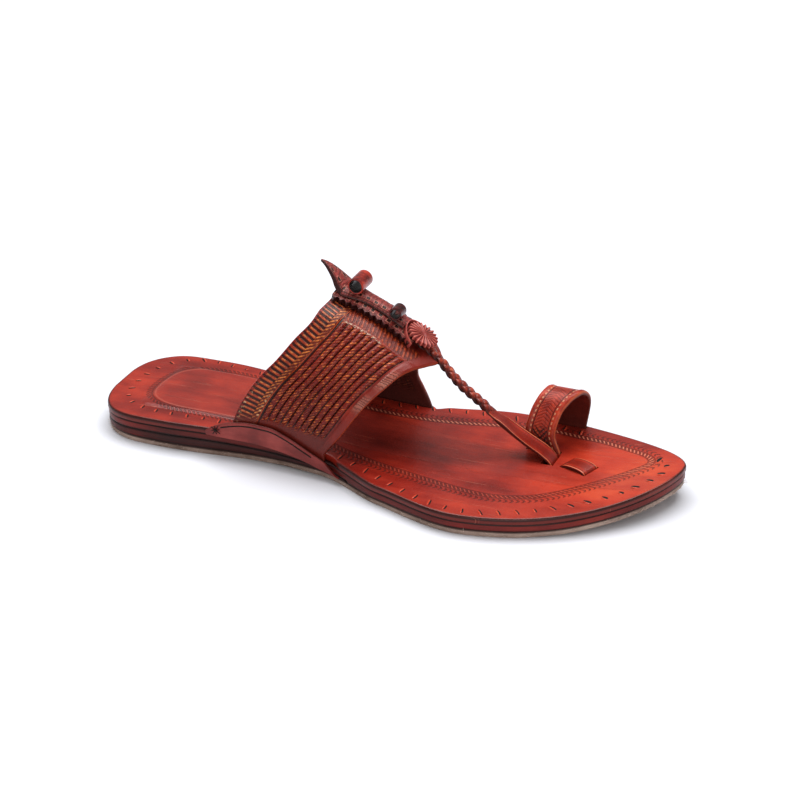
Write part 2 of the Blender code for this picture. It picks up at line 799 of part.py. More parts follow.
def build_rosette():
    """Fluted disc that covers the front end of the pinked strip, ahead of the tail strip."""
    around = 2 * ROSETTE_FLUTES
    mesh = bmesh.new()
    bmesh.ops.create_circle(mesh, cap_ends=True, radius=ROSETTE_RADIUS, segments=around)
    face = mesh.faces[:]
    bmesh.ops.inset_region(mesh, faces=face, thickness=ROSETTE_RADIUS - ROSETTE_BOSS)
    grown = bmesh.ops.extrude_face_region(mesh, geom=list(mesh.faces), use_keep_orig=True)
    top = [item for item in grown["geom"] if isinstance(item, bmesh.types.BMVert)]
    for vert in top:
        turn = math.atan2(vert.co.y, vert.co.x)
        flute = math.cos(turn * ROSETTE_FLUTES)
        out = vert.co.xy.length / ROSETTE_RADIUS
        vert.co.z = ROSETTE_WALL - FLUTE_DEPTH * (1 - flute) * (1 + out) / 2
    for vert in mesh.verts:
        if vert.co.xy.length > (ROSETTE_RADIUS + ROSETTE_BOSS) / 2:
            turn = math.atan2(vert.co.y, vert.co.x)
            scale = 1 - FLUTE_NOTCH / ROSETTE_RADIUS * (1 - math.cos(turn * ROSETTE_FLUTES)) / 2
            vert.co.x *= scale
            vert.co.y *= scale
    face_outwards(mesh)
    piece = add_object("rosette", mesh)
    x = ROSETTE_PLACE * LENGTH
    normal = instep_normal(x, 0)
    height = 2 * GAP + PINKED_WALL + ROSETTE_SEAT
    piece.location = instep(x, 0) + height * normal
    piece.rotation_euler = (0, math.atan2(normal.x, normal.z), 0)
    return piece


def tab_place(along, across):
    """Plan position of a point of the tab, from its middle."""
    x = TAB_AHEAD * LENGTH + along * math.cos(TAB_TURN) - across * math.sin(TAB_TURN)
    y = TAB_ASIDE + along * math.sin(TAB_TURN) + across * math.cos(TAB_TURN)
    return x, y


def build_tab():
    """Loop at the thong's end: a low arch with both ends seated in slits."""
    reach = TAB_LENGTH / 2 + TAB_WALL / 2
    inner = TAB_LENGTH / 2 - TAB_WALL / 2
    profile = ((-1, 0), (-1, 0.7), (-0.6, 0.94), (0, 1), (0.6, 0.94), (1, 0.7), (1, 0))

    def point(row, share, outside):
        along, up = row
        half = reach if outside else inner
        x, y = tab_place(along * half, share * TAB_WIDTH / 2)
        if up == 0:
            return Vector((x, y, insole_under(x) + GAP))
        z = insole_top(x) + TAB_RISE * up + (TAB_WALL if outside else 0.0)
        return Vector((x, y, z))

    return wall("thong_tab", profile, (-1, 0, 1),
                lambda row, share: point(row, share, True),
                lambda row, share: point(row, share, False))


def main():
    for item in list(bpy.data.objects):
        bpy.data.objects.remove(item, do_unlink=True)

    reaches = {side: max(abs(edge(x, side)) for x in FLAT_STATIONS) for side in (LATERAL, MEDIAL)}
    carrier = bpy.data.objects.new("sandal", None)
    bpy.context.scene.collection.objects.link(carrier)
    carrier.location = (-LENGTH / 2, (reaches[LATERAL] - reaches[MEDIAL]) / 2, 0)

    tread = leather("tread_leather", (0.36, 0.27, 0.19), 0.75)
    stacked = leather("stacked_leather", (0.21, 0.045, 0.03), 0.5)
    top = leather("insole_leather", (0.42, 0.07, 0.025), 0.38)
    strap = leather("strap_leather", (0.34, 0.05, 0.02), 0.42)
    dark = leather("trim_leather", (0.17, 0.03, 0.025), 0.45)

    finish(build_outsole(), carrier, tread)
    finish(build_heel_lift(), carrier, stacked)
    finish(build_midsole(), carrier, stacked)
    finish(build_insole(), carrier, top)
    finish(build_flap("side_flap_lateral", LATERAL), carrier, dark)
    finish(build_flap("side_flap_medial", MEDIAL), carrier, dark)
    upper, thong = build_upper()
    finish(upper, carrier, strap)
    thong.parent = carrier
    bpy.data.objects["slit_cutter"].parent = carrier
    finish(build_ring(), carrier, strap)
    finish(build_tab(), carrier, strap)
    finish(build_pinked_strip(), carrier, dark)
    finish(build_tail_strip(), carrier, dark)
    finish(build_bead("bead_back", BEAD_BACK_PLACE, BEAD_BACK_RADIUS, BEAD_BACK_LENGTH), carrier, dark)
    finish(build_bead("bead_front", BEAD_FRONT_PLACE, BEAD_FRONT_RADIUS, BEAD_FRONT_LENGTH), carrier, dark)
    finish(build_rosette(), carrier, dark)
    bpy.context.view_layer.update()


main()
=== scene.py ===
import math
import random
from functools import lru_cache
import bmesh
import bpy
from mathutils import Matrix, Vector, kdtree, noise


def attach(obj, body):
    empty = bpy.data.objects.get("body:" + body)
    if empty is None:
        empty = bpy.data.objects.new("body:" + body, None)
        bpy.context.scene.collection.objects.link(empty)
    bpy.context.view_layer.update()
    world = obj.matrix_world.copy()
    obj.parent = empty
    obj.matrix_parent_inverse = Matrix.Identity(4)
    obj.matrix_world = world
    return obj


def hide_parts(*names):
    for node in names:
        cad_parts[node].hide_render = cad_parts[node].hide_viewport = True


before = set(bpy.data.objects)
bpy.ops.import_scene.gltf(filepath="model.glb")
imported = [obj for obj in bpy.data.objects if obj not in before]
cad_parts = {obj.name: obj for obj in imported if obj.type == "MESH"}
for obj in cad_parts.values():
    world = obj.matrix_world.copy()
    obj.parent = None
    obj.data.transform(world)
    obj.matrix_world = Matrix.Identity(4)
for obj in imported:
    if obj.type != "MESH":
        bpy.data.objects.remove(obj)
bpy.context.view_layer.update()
mm = 0.001
lateral = -1
medial = 1

# The last and the sole, with the sizes that the solids were made from.
# x runs from the heel back to the toe tip, y grows to the medial side, z is up from the floor.
last = {
    "length": 270 * mm,
    "ball": 101 * mm,
    "waist": 61 * mm,
    "heel": 67.5 * mm,
    "heelHeight": 13.7 * mm,
    "instep": 62 * mm,
    "crestSide": 4 * mm,
    "tipSide": 9.5 * mm,
    "heelRound": 30 * mm,
    "heelSquare": 2.8,
    "endCut": 0.2 * mm,
    "toeFull": 1.7,
    "instepFull": 2.2,
}
sole = {
    "tread": 2.6 * mm,
    "middle": 3.3 * mm,
    "bed": 2.8 * mm,
    "gap": 0.3 * mm,
    "spring": 6.4 * mm,
    "springStart": 0.785,
    "heelRoll": 1.2 * mm,
    "heelRollLength": 12 * mm,
    "arch": 0.8 * mm,
    "archStart": 0.26,
    "archEnd": 0.50,
    "liftEnd": 0.48,
    "liftStep": 1.5 * mm,
    "treadInset": 0.6 * mm,
    "liftInset": 0.4 * mm,
    "padRise": 0.9 * mm,
    "padStart": 0.07,
    "padEnd": 0.36,
    "padSlope": 4 * mm,
    "padShare": 0.60,
    "padBorder": 0.06,
}
bandWall = 2.2 * mm

# share of the length, width of the sole, share of it on the lateral side
planRows = (
    (0.00, last["heel"], 0.500),
    (0.14, last["heel"], 0.515),
    (0.30, last["waist"], 0.508),
    (0.43, 1.08 * last["waist"], 0.510),
    (0.55, 0.82 * last["ball"], 0.575),
    (0.69, last["ball"], 0.574),
    (0.74, last["ball"], 0.570),
)
toeStart = {lateral: 0.69, medial: 0.74}
liftRows = ((0.00, 0.55), (0.08, 0.88), (0.18, 1.00), (0.30, 0.76), (0.41, 0.40), (0.48, 0.19), (0.56, 0.00),
            (1.00, 0.00))
crestRows = ((0.22, 1.12), (0.33, 1.07), (0.40, 1.00), (0.44, 0.962), (0.48, 0.906), (0.515, 0.825),
             (0.555, 0.722), (0.585, 0.634), (0.63, 0.524))
# angle from the crest, back and front edge of the band as shares of the length
bandRows = (
    (-90, 0.261, 0.435),
    (-79, 0.281, 0.467),
    (-68, 0.309, 0.490),
    (-57, 0.341, 0.510),
    (-45, 0.365, 0.530),
    (-31, 0.387, 0.548),
    (-20, 0.394, 0.563),
    (-10, 0.400, 0.576),
    (0, 0.4015, 0.585),
    (20, 0.396, 0.562),
    (45, 0.382, 0.522),
    (60, 0.370, 0.503),
    (75, 0.358, 0.503),
    (82, 0.353, 0.513),
    (90, 0.348, 0.527),
)


def through(rows, column, at):
    # smooth value of a column at a place of the first column, without overshoot
    if at <= rows[0][0]:
        return rows[0][column]
    if at >= rows[-1][0]:
        return rows[-1][column]
    slopes = [(high[column] - low[column]) / (high[0] - low[0]) for low, high in zip(rows, rows[1:])]
    tangents = [slopes[0]]
    for before, after in zip(slopes, slopes[1:]):
        tangents.append(0.0 if before * after <= 0 else 2 * before * after / (before + after))
    tangents.append(slopes[-1])
    index = 0
    while rows[index + 1][0] < at:
        index += 1
    low = rows[index]
    high = rows[index + 1]
    run = high[0] - low[0]
    t = (at - low[0]) / run
    start = (1 + 2 * t) * (1 - t) ** 2 * low[column] + t * (1 - t) ** 2 * run * tangents[index]
    end = t * t * (3 - 2 * t) * high[column] + t * t * (t - 1) * run * tangents[index + 1]
    return start + end


def smoothStep(value):
    value = min(1.0, max(0.0, value))
    return value * value * (3 - 2 * value)


def bump(value):
    # 1 at zero, falling softly to 0 at 1 and beyond on both sides
    return 1 - smoothStep(abs(value))


def roundOff(share, fullness):
    return max(0.0, 1 - share ** fullness) ** (1 / fullness)


@lru_cache(maxsize=None)
def sideReach(x, side):
    width = through(planRows, 1, x / last["length"])
    lateralShare = through(planRows, 2, x / last["length"])
    return width * (lateralShare if side == lateral else 1 - lateralShare)


@lru_cache(maxsize=None)
def edge(x, side, inset=0.0):
    length = last["length"]
    x = (x - inset) / (length - 2 * inset) * length
    x = min(length - last["endCut"], max(last["endCut"], x))
    turn = toeStart[side] * length
    if x > turn:
        reach = side * sideReach(turn, side)
        tip = last["tipSide"]
        y = tip + (reach - tip) * roundOff((x - turn) / (length - turn), last["toeFull"])
    else:
        y = side * sideReach(x, side)
        if x < last["heelRound"]:
            y *= roundOff((last["heelRound"] - x) / last["heelRound"], last["heelSquare"])
    return y - side * inset


frontHeight = sole["tread"] + sole["middle"] + sole["bed"] + 2 * sole["gap"]
fullLift = last["heelHeight"] - frontHeight


def under(x):
    roll = sole["heelRollLength"]
    if x < roll:
        return sole["heelRoll"] * ((roll - x) / roll) ** 2
    start = sole["springStart"] * last["length"]
    if x > start:
        return sole["spring"] * ((x - start) / (last["length"] - start)) ** 2
    share = (x / last["length"] - sole["archStart"]) / (sole["archEnd"] - sole["archStart"])
    return sole["arch"] * math.sin(math.pi * share) ** 2 if 0 < share < 1 else 0.0


def lift(x):
    return fullLift * through(liftRows, 1, x / last["length"])


def middleTop(x):
    return under(x) + sole["tread"] + sole["gap"] + lift(x) + sole["middle"]


def middleUnder(x):
    past = (x - sole["liftEnd"] * last["length"]) / sole["liftStep"]
    return under(x) + sole["tread"] + sole["gap"] + lift(x) * (1 - smoothStep(past))


@lru_cache(maxsize=None)
def bedTop(x):
    return middleTop(x) + sole["gap"] + sole["bed"]


@lru_cache(maxsize=None)
def bandEdge(angle, column):
    return last["length"] * through(bandRows, column, angle)


@lru_cache(maxsize=None)
def rebate(x, side):
    blend = 7 * mm
    start = (x - bandEdge(90 * side, 1)) / blend
    end = (bandEdge(90 * side, 2) - x) / blend
    return (bandWall + sole["gap"]) * smoothStep(start + 1.3) * smoothStep(end + 1.3)


@lru_cache(maxsize=None)
def footLine(x, side):
    front = bandEdge(90 * side, 2)
    return side * (sideReach(min(x, front), side) + 0.05 * max(0.0, x - front))


@lru_cache(maxsize=None)
def rise(x):
    return last["instep"] * through(crestRows, 1, x / last["length"])


def instep(x, angle):
    # point of the band's outside, angle in degrees from the crest
    side = lateral if angle < 0 else medial
    turn = math.radians(abs(angle))
    power = 2 / last["instepFull"]
    y = last["crestSide"] + (footLine(x, side) - last["crestSide"]) * math.sin(turn) ** power
    return Vector((x, y, bedTop(x) + rise(x) * max(0.0, math.cos(turn)) ** power))


def crestAngle(x, aside):
    side = lateral if aside < 0 else medial
    reach = abs(footLine(x, side) - last["crestSide"])
    return side * math.degrees(math.asin((abs(aside) / reach) ** (last["instepFull"] / 2)))


def instepNormal(x, angle):
    along = instep(x + 0.5 * mm, angle) - instep(x - 0.5 * mm, angle)
    around = instep(x, angle + 0.5) - instep(x, angle - 0.5)
    return along.cross(around).normalized()


def aboveCrest(x, aside, height):
    angle = crestAngle(x, aside)
    return instep(x, angle) + height * instepNormal(x, angle)


# The frame's origin is the middle of the plan, so everything is moved there from the last.
reaches = [max(abs(edge(last["length"] * step / 400, side)) for step in range(401)) for side in (lateral, medial)]
toRow = Vector((-last["length"] / 2, (reaches[0] - reaches[1]) / 2, 0))


# Meshes

def gridWall(rows, columns, outside, inside, fields=()):
    # a grid laid on outside(row, column) and extruded to inside(row, column): one closed wall
    mesh = bmesh.new()
    rowSteps = len(rows) - 1
    columnSteps = len(columns) - 1
    bmesh.ops.create_grid(mesh, x_segments=rowSteps, y_segments=columnSteps, size=1.0)
    layers = [mesh.verts.layers.float.new(field) for field in fields]
    grown = bmesh.ops.extrude_face_region(mesh, geom=list(mesh.faces), use_keep_orig=True)
    inner = {item for item in grown["geom"] if isinstance(item, bmesh.types.BMVert)}
    for vert in mesh.verts:
        row = rows[round((vert.co.x + 1) / 2 * rowSteps)]
        column = columns[round((vert.co.y + 1) / 2 * columnSteps)]
        spot = (inside if vert in inner else outside)(row, column)
        vert.co = spot[0] + toRow
        for layer, value in zip(layers, spot[1:]):
            vert[layer] = value
    return mesh


def sweep(rows, around, point, fields=()):
    # a closed sweep of rings point(row, turn), filled at both ends
    mesh = bmesh.new()
    rowSteps = len(rows) - 1
    bmesh.ops.create_grid(mesh, x_segments=rowSteps, y_segments=around, size=1.0)
    layers = [mesh.verts.layers.float.new(field) for field in fields]
    for vert in mesh.verts:
        row = rows[round((vert.co.x + 1) / 2 * rowSteps)]
        turn = 2 * math.pi * (round((vert.co.y + 1) / 2 * around) % around) / around
        spot = point(row, turn)
        vert.co = spot[0] + toRow
        for layer, value in zip(layers, spot[1:]):
            vert[layer] = value
    bmesh.ops.remove_doubles(mesh, verts=mesh.verts, dist=1e-7)
    openEdges = [item for item in mesh.edges if len(item.link_faces) == 1]
    bmesh.ops.holes_fill(mesh, edges=openEdges, sides=0)
    return mesh


def makePiece(name, mesh, materials, nodes=(), crease=35):
    # puts the mesh in an object that rides on the frame and stands for its solids
    bmesh.ops.recalc_face_normals(mesh, faces=mesh.faces)
    if mesh.calc_volume(signed=True) < 0:
        bmesh.ops.reverse_faces(mesh, faces=mesh.faces)
    data = bpy.data.meshes.new(name)
    mesh.to_mesh(data)
    mesh.free()
    data.shade_smooth()
    data.set_sharp_from_angle(angle=math.radians(crease))
    for material in materials:
        data.materials.append(material)
    piece = bpy.data.objects.new(name, data)
    bpy.context.scene.collection.objects.link(piece)
    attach(piece, "root")
    if nodes:
        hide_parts(*nodes)
    return piece


def spread(low, high, step):
    count = max(1, round((high - low) / step))
    return [low + (high - low) * index / count for index in range(count + 1)]


def rough(place, size):
    # soft uneven value from -1 to 1, the same at each run
    return noise.noise(Vector(place) / size)


# Materials

def hexColour(code):
    channels = [int(code[index:index + 2], 16) / 255 for index in (1, 3, 5)]
    linear = [value / 12.92 if value <= 0.04045 else ((value + 0.055) / 1.055) ** 2.4 for value in channels]
    return (*linear, 1.0)


def addNode(tree, kind, inputs=None, out=0, **settings):
    # adds a node with its settings; an input is a value or another node's output; gives one output back
    node = tree.nodes.new(kind)
    for name, value in settings.items():
        setattr(node, name, value)
    for name, value in (inputs or {}).items():
        if isinstance(value, bpy.types.NodeSocket):
            tree.links.new(value, node.inputs[name])
        else:
            node.inputs[name].default_value = value
    return node.outputs[out] if node.outputs else node


def leather(name, look, detail=None):
    # vegetable-tanned hide, dyed by hand: darker and redder where the dye pooled, a waxed half gloss,
    # fine grain, long soft streaks from the rubbing cloth
    material = bpy.data.materials.new(name)
    material.use_nodes = True
    tree = material.node_tree
    shader = tree.nodes["Principled BSDF"]
    place = addNode(tree, "ShaderNodeTexCoord", out=3)
    # the tone stored on each piece: uneven dye, and on some pieces painted light and shade as well
    tone = addNode(tree, "ShaderNodeAttribute", out=2, attribute_name="tone")
    dyed = addNode(tree, "ShaderNodeTexNoise", {"Vector": place, "Scale": 1 / look["mottle"], "Detail": 5.0,
                                               "Roughness": 0.6})
    stretched = addNode(tree, "ShaderNodeMapping", {"Vector": place, "Scale": look["streak"]})
    streaks = addNode(tree, "ShaderNodeTexNoise", {"Vector": stretched, "Scale": 1.0, "Detail": 4.0,
                                                  "Roughness": 0.65})
    both = addNode(tree, "ShaderNodeMath", {0: dyed, 1: streaks}, operation="ADD")
    spreadOut = addNode(tree, "ShaderNodeMath", {0: both, 1: look["unevenness"], 2: -look["unevenness"]},
                        operation="MULTIPLY_ADD")
    shade = addNode(tree, "ShaderNodeMath", {0: tone, 1: spreadOut}, operation="ADD")
    ramp = tree.nodes.new("ShaderNodeValToRGB")
    tree.links.new(shade, ramp.inputs[0])
    stops = look["colours"]
    while len(ramp.color_ramp.elements) < len(stops):
        ramp.color_ramp.elements.new(0.5)
    for element, (at, code) in zip(ramp.color_ramp.elements, stops):
        element.position = at
        element.color = hexColour(code)
    colour = ramp.outputs[0]
    pores = addNode(tree, "ShaderNodeTexVoronoi", {"Vector": place, "Scale": 1 / look["grain"]}, feature="F1")
    crumple = addNode(tree, "ShaderNodeTexNoise", {"Vector": place, "Scale": 1 / (4 * look["grain"]),
                                                  "Detail": 6.0, "Roughness": 0.7})
    height = addNode(tree, "ShaderNodeMath", {0: pores, 1: look["grainDepth"]}, operation="MULTIPLY")
    height = addNode(tree, "ShaderNodeMath", {0: crumple, 1: look["crumpleDepth"], 2: height},
                     operation="MULTIPLY_ADD")
    gloss = addNode(tree, "ShaderNodeMapRange", {0: streaks, 1: 0.3, 2: 0.7, 3: look["gloss"] - 0.07,
                                                4: look["gloss"] + 0.09})
    if detail:
        colour, height, gloss = detail(tree, colour, height, gloss)
    raised = addNode(tree, "ShaderNodeBump", {"Height": height, "Distance": mm, "Strength": 1.0})
    tree.links.new(colour, shader.inputs["Base Color"])
    tree.links.new(raised, shader.inputs["Normal"])
    tree.links.new(gloss, shader.inputs["Roughness"])
    shader.inputs["IOR"].default_value = 1.48
    shader.inputs["Specular IOR Level"].default_value = 0.25
    shader.inputs["Coat Weight"].default_value = look["wax"]
    shader.inputs["Coat Roughness"].default_value = look["waxRoughness"]
    shader.inputs["Coat IOR"].default_value = 1.45
    return material


def field(tree, name):
    # a value stored on the piece's points, in millimetres where it is a length
    return addNode(tree, "ShaderNodeAttribute", out=2, attribute_name=name)


def stripe(tree, value, middle, half, soft):
    # 1 where the value lies within half of the middle, soft at both sides
    away = addNode(tree, "ShaderNodeMath", {0: value, 1: middle}, operation="SUBTRACT")
    away = addNode(tree, "ShaderNodeMath", {0: away}, operation="ABSOLUTE")
    return addNode(tree, "ShaderNodeMapRange", {0: away, 1: half, 2: half + soft, 3: 1.0, 4: 0.0},
                   interpolation_type="SMOOTHSTEP")


def repeated(tree, value, pitch, half, soft):
    # 1 on every repeat of the pitch, within half of its middle
    turns = addNode(tree, "ShaderNodeMath", {0: value, 1: 1 / pitch}, operation="MULTIPLY")
    back = addNode(tree, "ShaderNodeMath", {0: turns, 1: 0.5}, operation="PINGPONG")
    return addNode(tree, "ShaderNodeMapRange", {0: back, 1: half / pitch, 2: (half + soft) / pitch, 3: 1.0,
                                               4: 0.0}, interpolation_type="SMOOTHSTEP")


def combine(tree, first, second, slope=0.0):
    # first plus slope times second
    return addNode(tree, "ShaderNodeMath", {0: second, 1: slope, 2: first}, operation="MULTIPLY_ADD")


def times(tree, *values):
    result = values[0]
    for value in values[1:]:
        result = addNode(tree, "ShaderNodeMath", {0: result, 1: value}, operation="MULTIPLY")
    return result


def tint(tree, colour, amount, code, share=1.0):
    # mixes a colour in where amount is high
    if share != 1.0:
        amount = times(tree, amount, share)
    return addNode(tree, "ShaderNodeMix", {"Factor": amount, 6: colour, 7: hexColour(code)}, out=2,
                   data_type="RGBA")


# Lines that the tooling follows, in plan

def smoothLine(points, step):
    # a soft curve through given points, cut into short even steps
    line = []
    for index in range(len(points) - 1):
        before = Vector(points[max(0, index - 1)])
        start = Vector(points[index])
        end = Vector(points[index + 1])
        after = Vector(points[min(len(points) - 1, index + 2)])
        count = max(1, round((end - start).length / step))
        for number in range(count):
            t = number / count
            bend = 2 * start + t * (end - before) + t * t * (2 * before - 5 * start + 4 * end - after)
            line.append((bend + t ** 3 * (3 * start - before - 3 * end + after)) / 2)
    line.append(Vector(points[-1]))
    return line


def lineField(line):
    # returns a function: how far a place lies from the line, positive on its left, and how far along it
    tree = kdtree.KDTree(len(line))
    for index, point in enumerate(line):
        tree.insert((point.x, point.y, 0), index)
    tree.balance()
    lengths = [0.0]
    for before, after in zip(line, line[1:]):
        lengths.append(lengths[-1] + (after - before).length)

    closed = (line[0] - line[-1]).length < 1e-6

    def measure(x, y):
        place = Vector((x, y))
        near = tree.find((x, y, 0))[1]
        best = None
        for start in (near - 1, near):
            if closed:
                start %= len(line) - 1
            if not 0 <= start < len(line) - 1:
                continue
            run = line[start + 1] - line[start]
            t = min(1.0, max(0.0, (place - line[start]).dot(run) / run.length_squared))
            away = place - line[start] - t * run
            if best is None or away.length < best[0]:
                turn = 1 if run.x * away.y - run.y * away.x >= 0 else -1
                best = (away.length, turn * away.length, lengths[start] + t * run.length)
        return best[1], best[2]

    return measure


def evenly(points, step):
    # places along a row of points, as fractions of its indexes, that lie the same distance apart
    lengths = [0.0]
    for before, after in zip(points, points[1:]):
        lengths.append(lengths[-1] + (after - before).length)
    count = max(1, round(lengths[-1] / step))
    places = []
    index = 0
    for number in range(count + 1):
        goal = lengths[-1] * number / count
        while index < len(points) - 2 and lengths[index + 1] < goal:
            index += 1
        places.append(index + min(1.0, (goal - lengths[index]) / (lengths[index + 1] - lengths[index])))
    return places


def stations(step, ends):
    # places along the sole, closer together where heel and toe turn
    heel = last["heelRound"]
    toe = toeStart[lateral] * last["length"]
    places = [0.0]
    places += [heel * (1 - math.cos(math.pi / 2 * index / ends) ** (2 / last["heelSquare"]))
               for index in range(1, ends + 1)]
    places += spread(heel, toe, step)[1:-1]
    places += [toe + (last["length"] - toe) * math.sin(math.pi / 2 * index / (2 * ends)) ** (2 / last["toeFull"])
               for index in range(2 * ends + 1)]
    low = last["endCut"]
    high = last["length"] - low
    return [low] + [x for x in places if low < x < high] + [high]


outlineStations = stations(1.0 * mm, 40)
outline = [Vector((x, edge(x, lateral))) for x in outlineStations]
outline += [Vector((x, edge(x, medial))) for x in reversed(outlineStations)]
outline += [outline[-1].lerp(outline[0], step / 16) for step in range(1, 17)]
fromEdge = lineField(outline)


def roundEdge(gap, radius):
    # how far a rounded edge falls away at this distance from the side
    if gap >= radius:
        return 0.0
    return radius - math.sqrt(max(0.0, radius ** 2 - (radius - max(0.0, gap)) ** 2))


def shares(width, step):
    # shares across a layer, dense at both sides for its rounded edges
    near = [0.0, 0.12 * mm, 0.32 * mm, 0.6 * mm, 1.0 * mm, 1.6 * mm]
    low = [2 * gap / width - 1 for gap in near]
    return low + spread(low[-1], -low[-1], 2 * step / width)[1:-1] + [-value for value in reversed(low)]


def layerMesh(places, across, top, bottom, inset, radii):
    # one sole layer, with its edge rounded above and below
    def spot(x, share, height, radius, turn):
        left = edge(x, lateral)
        right = edge(x, medial)
        y = left + (right - left) * (share + 1) / 2
        gap = min(y - left, right - y, fromEdge(x, y)[0])
        left += inset(x, lateral)
        right -= inset(x, medial)
        inward = (inset(x, lateral) + inset(x, medial)) / 2
        place = inward + x * (1 - 2 * inward / last["length"])
        return Vector((place, left + (right - left) * (share + 1) / 2, height(x, share) - turn * roundEdge(gap, radius)))

    return gridWall(places, across,
                    lambda x, share: (spot(x, share, top, radii[0], 1), 1.0),
                    lambda x, share: (spot(x, share, bottom, radii[1], -1), 0.0), ("level",))


def setField(piece, name, values):
    layer = piece.data.attributes.get(name) or piece.data.attributes.new(name, "FLOAT", "POINT")
    layer.data.foreach_set("value", values)


def toLast(point):
    return point - toRow


# Sole layers

treadLeather = {
    "colours": ((0.0, "#2c221e"), (0.35, "#6e5c52"), (0.6, "#a8948a"), (1.0, "#d4c2b6")),
    "mottle": 6 * mm,
    "streak": (1 / (9 * mm), 1 / (2 * mm), 1 / (0.5 * mm)),
    "unevenness": 0.34,
    "grain": 0.5 * mm,
    "grainDepth": 0.10,
    "crumpleDepth": 0.30,
    "gloss": 0.75,
    "wax": 0.0,
    "waxRoughness": 0.5,
}
stackLeather = {
    "colours": ((0.0, "#160504"), (0.3, "#431009"), (0.55, "#74201a"), (0.8, "#983424"), (1.0, "#b04c34")),
    "mottle": 14 * mm,
    "streak": (1 / (22 * mm), 1 / (22 * mm), 1 / (0.5 * mm)),
    "unevenness": 0.34,
    "grain": 0.4 * mm,
    "grainDepth": 0.05,
    "crumpleDepth": 0.12,
    "gloss": 0.40,
    "wax": 0.25,
    "waxRoughness": 0.3,
}


def treadDetail(tree, colour, height, gloss):
    # the cut edge shows grey flesh fibres, darker towards its top with painted shade under the layer above
    level = field(tree, "level")
    shadeUnderLayer = addNode(tree, "ShaderNodeMapRange", {0: level, 1: 0.72, 2: 1.0, 3: 0.0, 4: 0.8})
    colour = tint(tree, colour, shadeUnderLayer, "#2c1410")
    return colour, height, gloss


def stackDetail(tree, colour, height, gloss):
    # burnishing darkens the glue lines at the top and bottom of each layer
    level = field(tree, "level")
    seams = combine(tree, stripe(tree, level, 1.0, 0.02, 0.10), stripe(tree, level, 0.0, 0.03, 0.12), 1.0)
    colour = tint(tree, colour, seams, "#160403", 0.85)
    height = combine(tree, height, seams, -0.15)
    return colour, height, gloss


soleStations = stations(2.0 * mm, 24)
soleShares = shares(80 * mm, 12 * mm)


def unevenInset(base, size, swing):
    # hand-cut layers are never quite flush
    return lambda x, side: base + swing * (1 + rough((x, side * 0.1, size), 17 * mm)) / 2


def makeSole():
    tan = leather("soleLeatherTan", treadLeather, treadDetail)
    stack = leather("soleLeatherDyedEdges", stackLeather, stackDetail)
    liftEnd = sole["liftEnd"] * last["length"]
    treadTop = lambda x, share: under(x) + sole["tread"]
    tread = layerMesh(soleStations, soleShares, treadTop, lambda x, share: under(x),
                      unevenInset(0.1 * mm, 0.0, 0.9 * mm), (0.25 * mm, 0.45 * mm))
    tread = makePiece("tread", tread, [tan], ["outsole"])
    places = [x for x in soleStations if x < liftEnd - sole["gap"]] + [liftEnd]
    lifts = layerMesh(places, soleShares, lambda x, share: middleTop(x) - sole["middle"] - sole["gap"],
                      lambda x, share: treadTop(x, share) + sole["gap"] / 4,
                      unevenInset(0.1 * mm, 0.03, 0.5 * mm), (0.35 * mm, 0.35 * mm))
    lifts = makePiece("liftStack", lifts, [stack], ["heel_lift"])
    places = sorted(soleStations + [liftEnd + sole["gap"], liftEnd + sole["gap"] + sole["liftStep"]])
    middle = layerMesh(places, soleShares, lambda x, share: middleTop(x) + sole["gap"] / 2,
                       lambda x, share: middleUnder(x - sole["gap"]) - sole["gap"] / 2,
                       unevenInset(0.0, 0.06, 0.35 * mm), (0.5 * mm, 0.4 * mm))
    middle = makePiece("middleSole", middle, [stack], ["midsole"])
    for piece, tone in ((tread, 0.48), (lifts, 0.26), (middle, 0.42)):
        values = []
        for vert in piece.data.vertices:
            place = toLast(vert.co)
            toe = smoothStep((place.x / last["length"] - 0.55) / 0.35)
            heel = smoothStep((0.12 - place.x / last["length"]) / 0.12)
            values.append(tone + 0.12 * toe + 0.08 * heel + 0.16 * rough(place, 22 * mm))
        setField(piece, "tone", values)
    print("sole layers made")


makeSole()


# Footbed: the top leather with its heel pad, tooled lines, slits and small creases

footbed = {
    "rim": 1.0 * mm,
    "ringSpan": 30 * mm,
    "ringWall": 2 * mm,
    "ringMiddle": 26 * mm,
    "clearance": 0.4 * mm,
    "thongSlit": 5.6 * mm,
    "strapSide": 5 * mm,
    "tabLength": 12 * mm,
    "tabWidth": 9.5 * mm,
    "tabWall": 1.3 * mm,
    "tabRise": 0.5 * mm,
    "tabAhead": 0.8295,
    "tabAside": 2.2 * mm,
    "tabTurn": math.radians(-21),
    "creaseDepth": 0.17 * mm,
    "creaseWidth": 1.3 * mm,
}
# places in plan, in millimetres from the heel back and from the middle line
ropePoints = ((112, -21), (130, -26), (155, -31), (177, -35), (195, -36.5), (209, -33), (220, -26), (237, -9),
              (249, 5), (253.5, 12.5), (250, 19), (240, 24), (225, 29), (205, 31), (190, 29.5), (175, 26.5),
              (160, 22.5), (146, 20), (128, 18), (112, 17))
seamPoints = ((8, 0), (10, -13), (17, -22), (30, -26), (45, -26), (62, -25), (90, -25), (118, -29), (140, -37),
              (158, -45.5), (172, -51), (186, -53.5), (199, -51.5), (212, -46), (224, -38.5), (236, -30),
              (247, -20.5), (256, -9.5), (261.5, 1), (262, 9), (257, 15.5), (246, 23), (230, 29.5), (216, 34),
              (195, 36.5), (170, 35.5), (145, 31), (120, 26), (90, 24.5), (70, 26), (51, 27.5), (36, 30),
              (24, 29), (14, 22), (9, 11), (8, 0))
nickLines = (((171, -9), (174.5, -11.5), (176, -15)), ((177, -15.5), (181, -18.5), (186, -18.5)),
             ((167, -25), (171, -23.5), (175, -25)))
